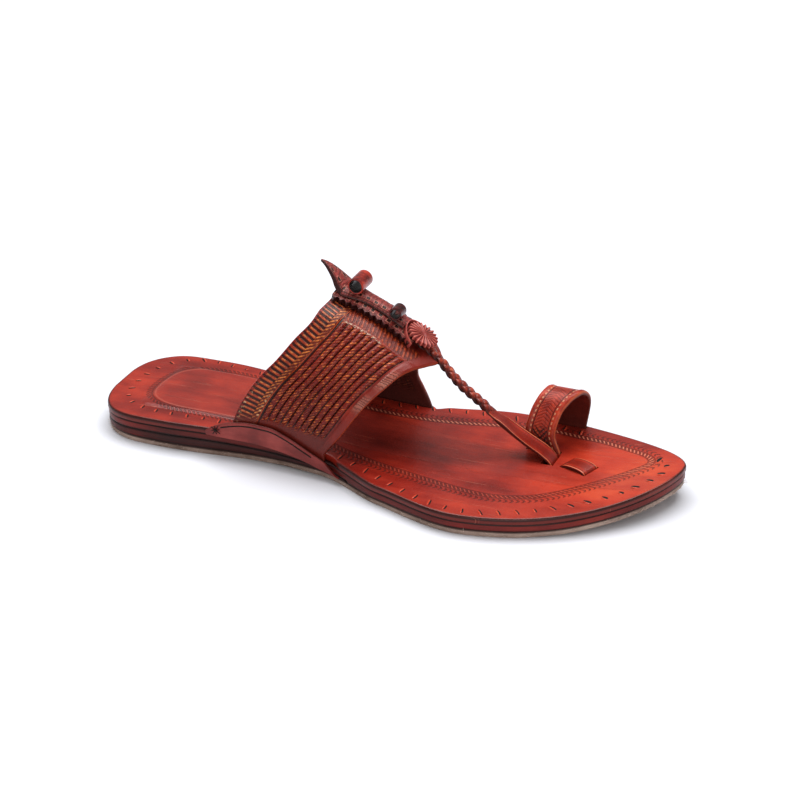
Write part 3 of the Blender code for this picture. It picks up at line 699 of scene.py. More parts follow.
padPoints = ((97, -19), (80, -19.5), (55, -20.5), (36, -20), (25, -15.5), (20, -7), (20, 5), (23.5, 14), (31, 19.5),
             (45, 21), (65, 20.5), (82, 20), (97, 18))
# middle of a patch, its reach along and across, and how much lighter or darker the colour is there: uneven dye, with
# painted shade near the band and painted light on the toe
dyeLightAndShadePatches = ((252, 6, 26, 26, 0.30), (232, -22, 24, 12, 0.18), (205, 28, 26, 10, 0.02), (200, 6, 26, 20, 0.04),
              (165, -12, 34, 20, -0.17), (150, 20, 26, 12, -0.14), (120, -8, 30, 30, -0.13),
              (190, -50, 50, 8, 0.04), (150, -42, 24, 9, -0.10), (8, -6, 12, 22, -0.02), (30, -26, 26, 8, -0.14),
              (20, 20, 22, 12, -0.14), (45, 2, 26, 14, -0.02), (74, -16, 18, 16, -0.16), (88, 0, 22, 30, -0.20),
              (178, -16, 10, 6, 0.10), (214, -14, 12, 8, 0.10), (196, -30, 20, 5, -0.10), (222, 14, 9, 9, 0.12),
              (262, 19, 14, 10, -0.10), (246, 31, 20, 7, -0.16), (216, 38, 28, 7, -0.12))


def inMillimetres(points):
    return [(x * mm, y * mm) for x, y in points]


def tabSpot(along, across):
    turn = footbed["tabTurn"]
    x = footbed["tabAhead"] * last["length"] + along * math.cos(turn) - across * math.sin(turn)
    return x, footbed["tabAside"] + along * math.sin(turn) + across * math.cos(turn)


# share of the length, height over the insole, half width and half thickness in thong widths
thongWidth = 6.2 * mm
thongRows = (
    (0.548, 0.686, 0.46, 0.28),
    (0.565, 0.645, 0.46, 0.32),
    (0.585, 0.585, 0.46, 0.33),
    (0.628, 0.443, 0.46, 0.33),
    (0.660, 0.342, 0.46, 0.33),
    (0.683, 0.262, 0.51, 0.25),
    (0.713, 0.172, 0.68, 0.17),
    (0.742, 0.098, 0.79, 0.15),
    (0.767, 0.040, 0.81, 0.15),
    (0.778, 0.010, 0.79, 0.14),
    (0.783, -0.030, 0.75, 0.14),
)
# angle from the crown, back and front rim as shares of the length
ringRows = ((-90, 0.728, 0.785), (-70, 0.722, 0.774), (-45, 0.727, 0.779), (-25, 0.733, 0.788), (0, 0.739, 0.799),
            (40, 0.741, 0.806), (90, 0.735, 0.795))


def slitBoxes():
    # middle, size and turn of each slit: thong, both ends of its tab, both feet of the ring
    slack = 2 * footbed["clearance"]
    across = 2 * max(row[2] for row in thongRows) * thongWidth + slack
    end = thongRows[-1][0] * last["length"] + thongWidth * thongRows[-1][3] + footbed["clearance"]
    boxes = [(end - footbed["thongSlit"] / 2, footbed["strapSide"], footbed["thongSlit"], across, 0.0)]
    for end in (-1, 1):
        x, y = tabSpot(end * footbed["tabLength"] / 2, 0)
        boxes.append((x, y, footbed["tabWall"] + slack, footbed["tabWidth"] + slack, footbed["tabTurn"]))
    for side in (lateral, medial):
        back = last["length"] * through(ringRows, 1, 90 * side)
        front = last["length"] * through(ringRows, 2, 90 * side)
        y = footbed["ringMiddle"] + side * (footbed["ringSpan"] - footbed["ringWall"]) / 2
        boxes.append(((back + front) / 2, y, front - back + slack, footbed["ringWall"] + slack, 0.0))
    return boxes


def padLift(x, y):
    # the heel pad stands proud inside its own border, which follows the sole
    side = lateral if y < 0 else medial
    left = edge(x, lateral)
    right = edge(x, medial)
    share = abs((y - left) / (right - left) * 2 - 1)
    along = smoothStep((x - sole["padStart"] * last["length"]) / sole["padSlope"])
    along *= smoothStep((sole["padEnd"] * last["length"] - x) / sole["padSlope"])
    return sole["padRise"] * along * smoothStep((sole["padShare"] + sole["padBorder"] - share) / sole["padBorder"])


def wornHollow(x, y):
    # soft troughs that a foot leaves under heel, ball and big toe
    hollow = 0.0
    for middleX, middleY, reachX, reachY, depth in ((45, 0, 34, 24, 0.25), (182, 2, 30, 34, 0.45),
                                                     (215, 24, 13, 11, 0.5), (226, -12, 14, 22, 0.2)):
        away = math.hypot((x / mm - middleX) / reachX, (y / mm - middleY) / reachY)
        hollow += depth * mm * bump(away)
    return hollow


def footbedTop(x, y):
    low = bedTop(x) + padLift(x, y) - wornHollow(x, y)
    return low + 0.12 * mm * rough((x, y, 0), 26 * mm)


bedLeather = {
    "colours": ((0.0, "#200504"), (0.28, "#58120d"), (0.5, "#8c2417"), (0.72, "#b43a22"), (1.0, "#d25c36")),
    "mottle": 16 * mm,
    "streak": (1 / (38 * mm), 1 / (7 * mm), 1 / (7 * mm)),
    "unevenness": 0.36,
    "grain": 0.55 * mm,
    "grainDepth": 0.05,
    "crumpleDepth": 0.17,
    "gloss": 0.36,
    "wax": 0.35,
    "waxRoughness": 0.22,
}


def bedDetail(tree, colour, height, gloss):
    edgeGap = field(tree, "edgeGap")
    ropeGap = field(tree, "ropeGap")
    ropeAlong = field(tree, "ropeAlong")
    padGap = field(tree, "padGap")
    padAlong = field(tree, "padAlong")
    nickGap = field(tree, "nickGap")
    # the rim is burnished dark with a hot iron
    level = field(tree, "level")
    rim = addNode(tree, "ShaderNodeMapRange", {0: edgeGap, 1: 0.2, 2: 1.3, 3: 1.0, 4: 0.0},
                  interpolation_type="SMOOTHSTEP")
    high = addNode(tree, "ShaderNodeMapRange", {0: level, 1: 0.35, 2: 0.62, 3: 0.0, 4: 1.0})
    side = times(tree, rim, addNode(tree, "ShaderNodeMath", {0: 1.0, 1: high}, operation="SUBTRACT"))
    colour = tint(tree, colour, side, "#5e1c14", 0.85)
    colour = tint(tree, colour, times(tree, rim, high), "#220a08", 0.92)
    colour = tint(tree, colour, times(tree, rim, stripe(tree, level, 0.0, 0.06, 0.12)), "#180605", 0.8)
    # a stamped rope: slanted strokes between two scored lines, beside a row of small crescents
    lean = combine(tree, ropeAlong, ropeGap, 0.8)
    strokes = times(tree, repeated(tree, lean, 2.1, 0.35, 0.35), stripe(tree, ropeGap, 0.0, 0.75, 0.35))
    scored = combine(tree, stripe(tree, ropeGap, 1.5, 0.12, 0.3), stripe(tree, ropeGap, -1.5, 0.12, 0.3), 1.0)
    curl = addNode(tree, "ShaderNodeMath", {0: ropeGap, 1: -3.6}, operation="SUBTRACT")
    curl = addNode(tree, "ShaderNodeMath", {0: curl, 1: curl}, operation="MULTIPLY")
    bent = combine(tree, ropeAlong, curl, 0.55)
    crescents = times(tree, repeated(tree, bent, 2.4, 0.25, 0.3), stripe(tree, ropeGap, -3.6, 1.1, 0.4))
    padLean = combine(tree, padAlong, padGap, 0.9)
    padStrokes = times(tree, repeated(tree, padLean, 2.2, 0.35, 0.35), stripe(tree, padGap, 2.2, 0.7, 0.4))
    padLine = stripe(tree, padGap, 0.7, 0.15, 0.35)
    pressed = combine(tree, strokes, scored, 0.8)
    pressed = combine(tree, pressed, crescents, 0.9)
    pressed = combine(tree, pressed, padStrokes, 0.9)
    pressed = combine(tree, pressed, padLine, 0.8)
    # painted highlight: pale marks between the rope's strokes, stronger along the far side
    shifted = addNode(tree, "ShaderNodeMath", {0: lean, 1: 1.05}, operation="ADD")
    paintedHighlight = times(tree, repeated(tree, shifted, 2.1, 0.3, 0.4), stripe(tree, ropeGap, 0.0, 0.8, 0.3))
    far = addNode(tree, "ShaderNodeMapRange", {0: ropeAlong, 1: 135.0, 2: 175.0, 3: 0.08, 4: 0.46})
    colour = tint(tree, colour, times(tree, paintedHighlight, far), "#e29a7c")
    colour = tint(tree, colour, pressed, "#3a0e09", 0.6)
    height = combine(tree, height, pressed, -0.5)
    pad = addNode(tree, "ShaderNodeMapRange", {0: padGap, 1: 0.5, 2: -0.9, 3: 0.0, 4: 1.0},
                  interpolation_type="SMOOTHSTEP")
    colour = tint(tree, colour, pad, "#8c3a32", 0.22)
    # painted highlight along the heel pad's raised border
    colour = tint(tree, colour, stripe(tree, padGap, -0.9, 0.15, 0.7), "#d07a66", 0.22)
    height = combine(tree, height, pad, 0.55)
    # the small creases are darkened with painted shade beside their raised ridges
    nicks = stripe(tree, nickGap, 0.0, 0.1, 0.3)
    colour = tint(tree, colour, nicks, "#5a1c14", 0.25)
    # long fine scratches from wear
    place = addNode(tree, "ShaderNodeTexCoord", out=3)
    turned = addNode(tree, "ShaderNodeMapping", {"Vector": place, "Rotation": (0, 0, 0.55),
                                                "Scale": (1 / (60 * mm), 1 / (1.4 * mm), 1 / (60 * mm))})
    scratch = addNode(tree, "ShaderNodeTexNoise", {"Vector": turned, "Scale": 1.0, "Detail": 2.0})
    scratch = stripe(tree, scratch, 0.69, 0.004, 0.012)
    colour = tint(tree, colour, scratch, "#c9745a", 0.35)
    height = combine(tree, height, scratch, -0.06)
    return colour, height, gloss


def makeFootbed():
    material = leather("insoleLeatherWaxed", bedLeather, bedDetail)

    def spot(x, share, top):
        left = edge(x, lateral, rebate(x, lateral))
        right = edge(x, medial, rebate(x, medial))
        y = left + (right - left) * (share + 1) / 2
        gap = min(y - left, right - y, fromEdge(x, y)[0])
        if top:
            return Vector((x, y, footbedTop(x, y) - roundEdge(gap, footbed["rim"])))
        return Vector((x, y, middleTop(x) + sole["gap"] / 2 + roundEdge(gap, 0.3 * mm)))

    mesh = gridWall(stations(1.0 * mm, 30), shares(88 * mm, 0.95 * mm),
                    lambda x, share: (spot(x, share, True),), lambda x, share: (spot(x, share, False),))
    piece = makePiece("footbed", mesh, [material], ["insole"])
    cutter = bmesh.new()
    for x, y, sizeX, sizeY, turn in slitBoxes():
        place = Matrix.Translation(Vector((x, y, bedTop(x) - sole["bed"] / 2)) + toRow)
        shape = Matrix.Rotation(turn, 4, "Z") @ Matrix.Diagonal((sizeX, sizeY, 4 * sole["bed"], 1))
        bmesh.ops.create_cube(cutter, size=1.0, matrix=place @ shape)
    cutterData = bpy.data.meshes.new("slits")
    cutter.to_mesh(cutterData)
    cutter.free()
    cutterPiece = bpy.data.objects.new("slits", cutterData)
    bpy.context.scene.collection.objects.link(cutterPiece)
    cut = piece.modifiers.new("slits", "BOOLEAN")
    cut.operation = "DIFFERENCE"
    cut.object = cutterPiece
    bpy.context.view_layer.update()
    cutMesh = bpy.data.meshes.new_from_object(piece.evaluated_get(bpy.context.evaluated_depsgraph_get()))
    piece.modifiers.clear()
    piece.data = cutMesh
    bpy.data.objects.remove(cutterPiece, do_unlink=True)
    rope = lineField(smoothLine(inMillimetres(ropePoints), 0.7 * mm))
    pad = lineField(smoothLine(inMillimetres(padPoints), 0.7 * mm))
    nicks = [lineField(smoothLine(inMillimetres(points), 0.4 * mm)) for points in nickLines]
    fields = {name: [] for name in ("edgeGap", "level", "ropeGap", "ropeAlong", "padGap", "padAlong", "nickGap",
                                     "tone")}
    for vert in cutMesh.vertices:
        x, y, z = toLast(vert.co)
        fields["edgeGap"].append(fromEdge(x, y)[0] / mm)
        fields["level"].append((z - middleTop(x)) / (sole["bed"] + sole["gap"]))
        gap, along = rope(x, y)
        fields["ropeGap"].append(gap / mm)
        fields["ropeAlong"].append(along / mm)
        gap, along = pad(x, y)
        fields["padGap"].append(gap / mm)
        fields["padAlong"].append(along / mm)
        gaps = [nick(x, y)[0] / mm for nick in nicks]
        nick = min(gaps, key=abs)
        fields["nickGap"].append(nick)
        if z > bedTop(x) - 0.5 * mm:
            vert.co.z += footbed["creaseDepth"] * bump((nick - 0.9) * mm / footbed["creaseWidth"])
            vert.co.z -= 0.6 * footbed["creaseDepth"] * bump((nick + 0.7) * mm / footbed["creaseWidth"])
        tone = 0.56 + 0.07 * rough((x, y, 0), 26 * mm) + 0.05 * rough((x, y, 0.3), 8 * mm)
        for middleX, middleY, reachX, reachY, change in dyeLightAndShadePatches:
            tone += change * bump(math.hypot((x / mm - middleX) / reachX / 1.5, (y / mm - middleY) / reachY / 1.5))
        fields["tone"].append(tone)
    for name, values in fields.items():
        setField(piece, name, values)
    print("footbed made")


makeFootbed()


# Instep band

band = {
    "step": 0.6 * mm,
    "shareStep": 0.0098,
    "panelTop": 21,
    "panelFoot": 81,
    "borderShare": 0.225,
    "panelBack": 0.25,
    "panelFront": 0.89,
    "frontBorder": 0.92,
    "cords": 10,
    "cordRise": 1.15 * mm,
    "borderRise": 0.5 * mm,
    "rim": 0.9 * mm,
    "slitPitch": 2.2,
    "ridgePitch": 2.2,
    "twistPitch": 1.9,
}
strapLeather = {
    "colours": ((0.0, "#1c0504"), (0.3, "#4e110c"), (0.52, "#862618"), (0.76, "#b03c24"), (1.0, "#d46438")),
    "mottle": 7 * mm,
    "streak": (1 / (5 * mm), 1 / (5 * mm), 1 / (12 * mm)),
    "unevenness": 0.42,
    "grain": 0.45 * mm,
    "grainDepth": 0.05,
    "crumpleDepth": 0.14,
    "gloss": 0.38,
    "wax": 0.3,
    "waxRoughness": 0.25,
}


def fleshSide(tree, colour, height, gloss):
    # the inner side of a strap is undressed: duller, browner and rougher than the grain side
    flesh = field(tree, "flesh")
    colour = tint(tree, colour, flesh, "#481a14", 0.8)
    gloss = combine(tree, gloss, flesh, 0.25)
    return colour, height, gloss


def bandDetail(tree, colour, height, gloss):
    share = field(tree, "share")
    across = field(tree, "across")
    around = addNode(tree, "ShaderNodeMath", {0: field(tree, "around")}, operation="ABSOLUTE")
    away = addNode(tree, "ShaderNodeMath", {0: field(tree, "angle")}, operation="ABSOLUTE")
    cordPhase = field(tree, "cordPhase")
    patchy = addNode(tree, "ShaderNodeTexNoise", {"Vector": addNode(tree, "ShaderNodeTexCoord", out=3),
                                                 "Scale": 1 / (4 * mm), "Detail": 3.0})
    some = addNode(tree, "ShaderNodeMapRange", {0: patchy, 1: 0.40, 2: 0.62, 3: 0.15, 4: 1.0})
    fine = addNode(tree, "ShaderNodeTexNoise", {"Vector": addNode(tree, "ShaderNodeTexCoord", out=3),
                                               "Scale": 1 / (1.6 * mm), "Detail": 3.0})
    flecks = addNode(tree, "ShaderNodeMapRange", {0: fine, 1: 0.42, 2: 0.60, 3: 0.1, 4: 1.0})
    beside = addNode(tree, "ShaderNodeMapRange", {0: away, 1: 86.0, 2: 82.0, 3: 0.0, 4: 1.0})
    # back border: punched dots, a row of dark slits, then ridges that lean the other way
    dots = times(tree, repeated(tree, around, band["slitPitch"], 0.35, 0.25), stripe(tree, across, 1.15, 0.3, 0.25))
    slits = combine(tree, around, across, -0.22)
    lean = addNode(tree, "ShaderNodeMath", {0: slits, 1: 0.5 * band["slitPitch"]}, operation="ADD")
    slits = times(tree, repeated(tree, slits, band["slitPitch"], 0.36, 0.3),
                  stripe(tree, share, 0.097, 0.055, 0.014), beside)
    between = times(tree, stripe(tree, share, 0.105, 0.062, 0.01), some, beside)
    ridges = combine(tree, around, across, 0.85)
    ridges = times(tree, repeated(tree, ridges, band["ridgePitch"], 0.42, 0.34),
                   stripe(tree, share, 0.190, 0.026, 0.010), beside)
    troughs = times(tree, stripe(tree, share, 0.190, 0.030, 0.008), beside)
    plainLine = stripe(tree, share, 0.226, 0.003, 0.004)
    groove = stripe(tree, share, 0.2395, 0.004, 0.006)
    colour = tint(tree, colour, between, "#b64c22", 0.85)
    # painted shade darkens the troughs of the ridge row, and the ridges' flecks get a painted highlight
    colour = tint(tree, colour, troughs, "#5c1a0c", 0.75)
    colour = tint(tree, colour, times(tree, ridges, flecks), "#d8823e", 0.85)
    colour = tint(tree, colour, plainLine, "#b85026", 0.7)
    glints = times(tree, repeated(tree, combine(tree, lean, flecks, 0.2), band["slitPitch"], 0.16, 0.22),
                   stripe(tree, share, 0.10, 0.05, 0.02), beside, flecks)
    colour = tint(tree, colour, glints, "#e4a05c", 0.5)
    colour = tint(tree, colour, slits, "#250603", 0.93)
    colour = tint(tree, colour, dots, "#140303", 0.9)
    colour = tint(tree, colour, groove, "#1c0504", 0.85)
    worn = times(tree, repeated(tree, around, 2.6, 0.35, 0.3), flecks,
                 combine(tree, stripe(tree, share, 0.035, 0.008, 0.01), stripe(tree, share, 0.205, 0.008, 0.01), 1.0),
                 addNode(tree, "ShaderNodeMapRange", {0: away, 1: 68.0, 2: 74.0, 3: 0.0, 4: 1.0}))
    colour = tint(tree, colour, worn, "#d8b48a", 0.7)
    height = combine(tree, height, slits, -0.8)
    height = combine(tree, height, dots, -0.4)
    height = combine(tree, height, ridges, 0.5)
    height = combine(tree, height, groove, -0.5)
    # cords: painted shade in the gaps between them, and each is twisted, with painted highlights on its turns
    inPanel = times(tree, stripe(tree, share, 0.57, 0.322, 0.004),
                    addNode(tree, "ShaderNodeMapRange", {0: away, 1: 20.5, 2: 22.0, 3: 0.0, 4: 1.0}),
                    addNode(tree, "ShaderNodeMapRange", {0: away, 1: 84.5, 2: 82.5, 3: 0.0, 4: 1.0}))
    gap = times(tree, repeated(tree, cordPhase, 1.0, 0.03, 0.13), inPanel)
    twist = combine(tree, combine(tree, around, across, 0.75), fine, 1.6)
    turns = times(tree, repeated(tree, twist, band["twistPitch"], 0.30, 0.45), inPanel)
    odd = addNode(tree, "ShaderNodeTexNoise", {"Vector": addNode(tree, "ShaderNodeTexCoord", out=3),
                                              "Scale": 1 / (2.4 * mm), "Detail": 4.0, "Roughness": 0.7})
    odd = addNode(tree, "ShaderNodeMapRange", {0: odd, 1: 0.44, 2: 0.58, 3: 0.0, 4: 1.0})
    paintedHighlight = times(tree, turns, odd, flecks)
    colour = tint(tree, colour, inPanel, "#741a12", 0.5)
    colour = tint(tree, colour, paintedHighlight, "#d87a3c", 0.9)
    colour = tint(tree, colour, gap, "#1c0504", 0.9)
    height = combine(tree, height, turns, 0.45)
    # slanted short ridges over the panel, and a crumbly pale seam between
    topRidges = combine(tree, across, around, -0.35)
    topZone = times(tree, stripe(tree, away, 14.0, 5.0, 1.2), stripe(tree, share, 0.57, 0.33, 0.01))
    topRidges = times(tree, repeated(tree, topRidges, 1.8, 0.35, 0.35), topZone)
    colour = tint(tree, colour, topZone, "#4a120a", 0.6)
    colour = tint(tree, colour, times(tree, topRidges, flecks), "#b04c22", 0.85)
    height = combine(tree, height, topRidges, 0.3)
    crumbs = addNode(tree, "ShaderNodeTexNoise", {"Vector": addNode(tree, "ShaderNodeTexCoord", out=3),
                                                 "Scale": 1 / (0.9 * mm), "Detail": 2.0})
    crumbs = addNode(tree, "ShaderNodeMapRange", {0: crumbs, 1: 0.45, 2: 0.56, 3: 0.0, 4: 1.0})
    pale = times(tree, crumbs, stripe(tree, away, 21.3, 0.5, 0.9), stripe(tree, share, 0.46, 0.17, 0.05))
    colour = tint(tree, colour, pale, "#cdb49c", 0.8)
    height = combine(tree, height, pale, 0.2)
    # front border: plain, rubbed along the edge and wrinkled near the crest; the pale patches on its bends are a
    # painted highlight
    front = stripe(tree, share, 0.96, 0.036, 0.006)
    zones = combine(tree, stripe(tree, around, 30.0, 3.0, 6.0), stripe(tree, around, 48.0, 3.0, 5.0), 0.8)
    creases = combine(tree, combine(tree, around, across, 0.12), patchy, 5.0)
    creases = times(tree, repeated(tree, creases, 1.7, 0.10, 0.35), front, zones)
    colour = tint(tree, colour, front, "#80281e", 0.6)
    colour = tint(tree, colour, times(tree, front, zones, patchy), "#c08a78", 0.75)
    colour = tint(tree, colour, creases, "#4c1812", 0.6)
    height = combine(tree, height, creases, -0.3)
    lip = stripe(tree, share, 1.0, 0.004, 0.006)
    colour = tint(tree, colour, lip, "#a84a2c", 0.7)
    foot = addNode(tree, "ShaderNodeMapRange", {0: away, 1: 83.0, 2: 85.0, 3: 0.0, 4: 1.0})
    colour = tint(tree, colour, foot, "#66241c", 0.7)
    return fleshSide(tree, colour, height, gloss)


def makeBand():
    material = leather("bandLeatherTooled", strapLeather, bandDetail)
    wall = bandWall

    def placeAt(angle, share):
        back = bandEdge(angle, 1)
        return back + (bandEdge(angle, 2) - back) * share

    fine = spread(-90, 90, 0.5)
    middleLine = [instep(placeAt(angle, 0.5), angle) for angle in fine]
    angles = []
    for place in evenly(middleLine, band["step"]):
        index = min(len(fine) - 2, int(place))
        angles.append(fine[index] + (fine[index + 1] - fine[index]) * (place - index))
    near = [0.0, 0.003, 0.008, 0.015, 0.024]
    across = near + spread(near[-1], 1 - near[-1], band["shareStep"])[1:-1] + [1 - value for value in reversed(near)]
    base = [[instep(placeAt(angle, share), angle) for share in across] for angle in angles]
    crown = min(range(len(angles)), key=lambda index: abs(angles[index]))
    around = [0.0] * len(angles)
    middle = len(across) // 2
    for index in range(crown + 1, len(angles)):
        around[index] = around[index - 1] + (base[index][middle] - base[index - 1][middle]).length
    for index in range(crown - 1, -1, -1):
        around[index] = around[index + 1] - (base[index][middle] - base[index + 1][middle]).length
    width = [(row[-1] - row[0]).length for row in base]

    def normalAt(row, column):
        if abs(angles[row]) > 89.99:
            return Vector((0, math.copysign(1, angles[row]), 0))
        up = base[min(row + 1, len(base) - 1)][column] - base[max(row - 1, 0)][column]
        ahead = base[row][min(column + 1, len(across) - 1)] - base[row][max(column - 1, 0)]
        return ahead.cross(up).normalized()

    def phase(row, share):
        wobble = 0.07 * rough((around[row], share * 0.05, 0), 9 * mm)
        return (share - band["panelBack"]) / (band["panelFront"] - band["panelBack"]) * band["cords"] + wobble

    def relief(row, share):
        away = abs(angles[row])
        faded = smoothStep((away - band["panelTop"] + 3) / 4) * smoothStep((90 - away) / 5)
        if share <= band["borderShare"] or share >= band["frontBorder"]:
            return band["borderRise"] * faded
        wave = phase(row, share)
        if not 0 <= wave <= band["cords"]:
            return 0.0
        arch = math.sqrt(max(0.0, 1 - (1.22 * (2 * (wave % 1.0) - 1)) ** 2))
        ends = smoothStep((away - band["panelTop"] + 0.8 - arch) / 2)
        ends *= smoothStep((band["panelFoot"] + 2.6 * arch - away) / 1.6)
        height = 0.85 + 0.3 * rough((int(wave) * 0.01, around[row], 0), 12 * mm)
        return band["cordRise"] * ends * arch * height

    def point(row, column, inner):
        index, drop = row
        share = across[column]
        spot = base[index][column].copy()
        normal = normalAt(index, column)
        gap = min(share, 1 - share) * width[index]
        fall = roundEdge(gap, band["rim"])
        if inner:
            spot -= (wall - fall) * normal
        else:
            spot += (relief(index, share) - fall) * normal
        spot.z -= drop * sole["bed"]
        tone = 0.5 + 0.12 * rough(spot, 22 * mm) - 0.10 * smoothStep((abs(angles[index]) - 70) / 20)
        return (spot, share, share * width[index] / mm, around[index] / mm, angles[index],
                phase(index, share), 1.0 if inner else 0.0, tone)

    drops = (1.0, 0.75, 0.5, 0.25)
    rows = [(0, drop) for drop in drops] + [(index, 0.0) for index in range(len(angles))]
    rows += [(len(angles) - 1, drop) for drop in reversed(drops)]
    mesh = gridWall(rows, range(len(across)), lambda row, column: point(row, column, False),
                    lambda row, column: point(row, column, True),
                    ("share", "across", "around", "angle", "cordPhase", "flesh", "tone"))
    makePiece("instepBand", mesh, [material], ["upper"], 50)
    print("instep band made")


makeBand()


# Thong: a plait of three strands that opens out into a flat strap

thong = {
    "strands": 3,
    "pitch": 12.5 * mm,
    "strandWidth": 3.5 * mm,
    "strandThick": 2.0 * mm,
    "swing": 1.25 * mm,
    "rise": 0.65 * mm,
    "lift": 3.4 * mm,
    "plaitEnd": 0.680,
    "strapStart": 0.652,
}
plaitLeather = dict(strapLeather, colours=((0.0, "#180504"), (0.3, "#40120c"), (0.55, "#74261c"), (0.8, "#a44430"),
                                           (1.0, "#d88a68")), gloss=0.32, wax=0.3, unevenness=0.9, mottle=2.5 * mm)


def thongCentre(at):
    x = at * last["length"]
    past = smoothStep((at - thongRows[0][0]) / (thongRows[-1][0] - thongRows[0][0]))
    y = last["crestSide"] + (footbed["strapSide"] - last["crestSide"]) * past
    return Vector((x, y, bedTop(x) + last["instep"] * through(thongRows, 1, at)))


def thongFrame(at):
    along = (thongCentre(min(0.783, at + 0.002)) - thongCentre(at - 0.002)).normalized()
    across = Vector((0, 1, 0))
    return along, across, across.cross(along).normalized() * -1


def plaitDetail(tree, colour, height, gloss):
    # strand edges are darker
    side = field(tree, "side")
    rim = addNode(tree, "ShaderNodeMapRange", {0: side, 1: 0.55, 2: 1.0, 3: 0.0, 4: 1.0})
    return tint(tree, colour, rim, "#1c0605", 0.7), height, gloss


def strapDetail(tree, colour, height, gloss):
    # the strap's cut edges are dark, with a scored line beside each; the dished middle is darkened as painted shade and
    # a painted highlight runs along each raised edge
    side = field(tree, "side")
    rim = addNode(tree, "ShaderNodeMapRange", {0: side, 1: 0.965, 2: 1.0, 3: 0.0, 4: 1.0})
    line = stripe(tree, side, 0.78, 0.012, 0.04)
    colour = tint(tree, colour, stripe(tree, side, 0.0, 0.30, 0.40), "#5c160e", 0.5)
    colour = tint(tree, colour, line, "#4a140c", 0.7)
    colour = tint(tree, colour, stripe(tree, side, 0.90, 0.03, 0.03), "#d47c54", 0.7)
    colour = tint(tree, colour, rim, "#2a0b08", 0.85)
    height = combine(tree, height, line, -0.2)
    return fleshSide(tree, colour, height, gloss)


def makeThong():
    plait = leather("thongLeatherPlaited", plaitLeather, plaitDetail)
    flat = leather("strapLeatherSmooth", dict(bedLeather, mottle=9 * mm), strapDetail)
    step = 0.55 * mm / last["length"]
    places = spread(thongRows[0][0], thong["plaitEnd"], step)
    # the plait's root lies on the tip of the band, below the rosette
    centres = [thongCentre(at) + Vector((0, 0, thong["lift"] * smoothStep((0.625 - at) / 0.06))) for at in places]
    travelled = [0.0]
    for before, after in zip(centres, centres[1:]):
        travelled.append(travelled[-1] + (after - before).length)
    joined = bmesh.new()
    for strand in range(thong["strands"]):
        def point(index, turn, strand=strand):
            at = places[index]
            along, sideways, up = thongFrame(at)
            phase = 2 * math.pi * (travelled[index] / thong["pitch"] + strand / thong["strands"])
            opening = smoothStep((at - 0.660) / 0.02)
            swing = thong["swing"] * (1 + 0.35 * opening)
            offset = swing * math.sin(phase) * sideways + thong["rise"] * (1 - opening) * math.sin(2 * phase) * up
            ahead = 2 * math.pi / thong["pitch"] * swing * math.cos(phase)
            lean = (along + ahead * sideways).normalized()
            across = up.cross(lean).normalized()
            thick = thong["strandThick"] * (1 - 0.45 * opening)
            out = math.copysign(abs(math.cos(turn)) ** 0.8, math.cos(turn)) * thong["strandWidth"] / 2
            high = math.copysign(abs(math.sin(turn)) ** 0.8, math.sin(turn)) * thick / 2
            # painted light: each strand's tone rises where it crosses over the plait and falls where it dips under
            tone = 0.50 + 0.22 * math.sin(2 * phase) * (1 - opening)
            return (centres[index] + offset + out * across + high * up, abs(math.cos(turn)), tone)

        mesh = sweep(range(len(places)), 12, point, ("side", "tone"))
        part = bpy.data.meshes.new("strand")
        mesh.to_mesh(part)
        mesh.free()
        joined.from_mesh(part)
        bpy.data.meshes.remove(part)
    makePiece("plait", joined, [plait])

    def strapPoint(at, turn):
        along, sideways, up = thongFrame(at)
        start = smoothStep((at - thong["strapStart"]) / 0.02)
        half = thongWidth * through(thongRows, 2, at) * (0.55 + 0.45 * start)
        thick = thongWidth * through(thongRows, 3, at) * (0.35 + 0.65 * smoothStep((at - 0.675) / 0.02))
        out = math.copysign(abs(math.cos(turn)) ** 0.35, math.cos(turn))
        high = math.copysign(abs(math.sin(turn)) ** 0.7, math.sin(turn))
        dish = 0.95 * mm * out ** 4 * smoothStep((at - 0.675) / 0.03) * smoothStep((0.785 - at) / 0.03)
        spot = thongCentre(at) + half * out * sideways + (thick * high + dish) * up
        return spot, abs(out), 0.66 - 0.12 * start, 1.0 if math.sin(turn) < -0.3 else 0.0

    mesh = sweep(spread(thong["strapStart"], thongRows[-1][0], 0.8 * mm / last["length"]), 40, strapPoint,
                 ("side", "tone", "flesh"))
    makePiece("strapEnd", mesh, [flat], ["upper"])
    print("thong made")


makeThong()


# Toe ring

ring = {
    "span": footbed["ringSpan"],
    "wall": footbed["ringWall"],
    "height": 24.3 * mm,
    "fullness": 2.05,
    "step": 0.6 * mm,
    "rimRise": 0.35 * mm,
    "rim": 0.7 * mm,
    "beadPitch": 2.3,
}


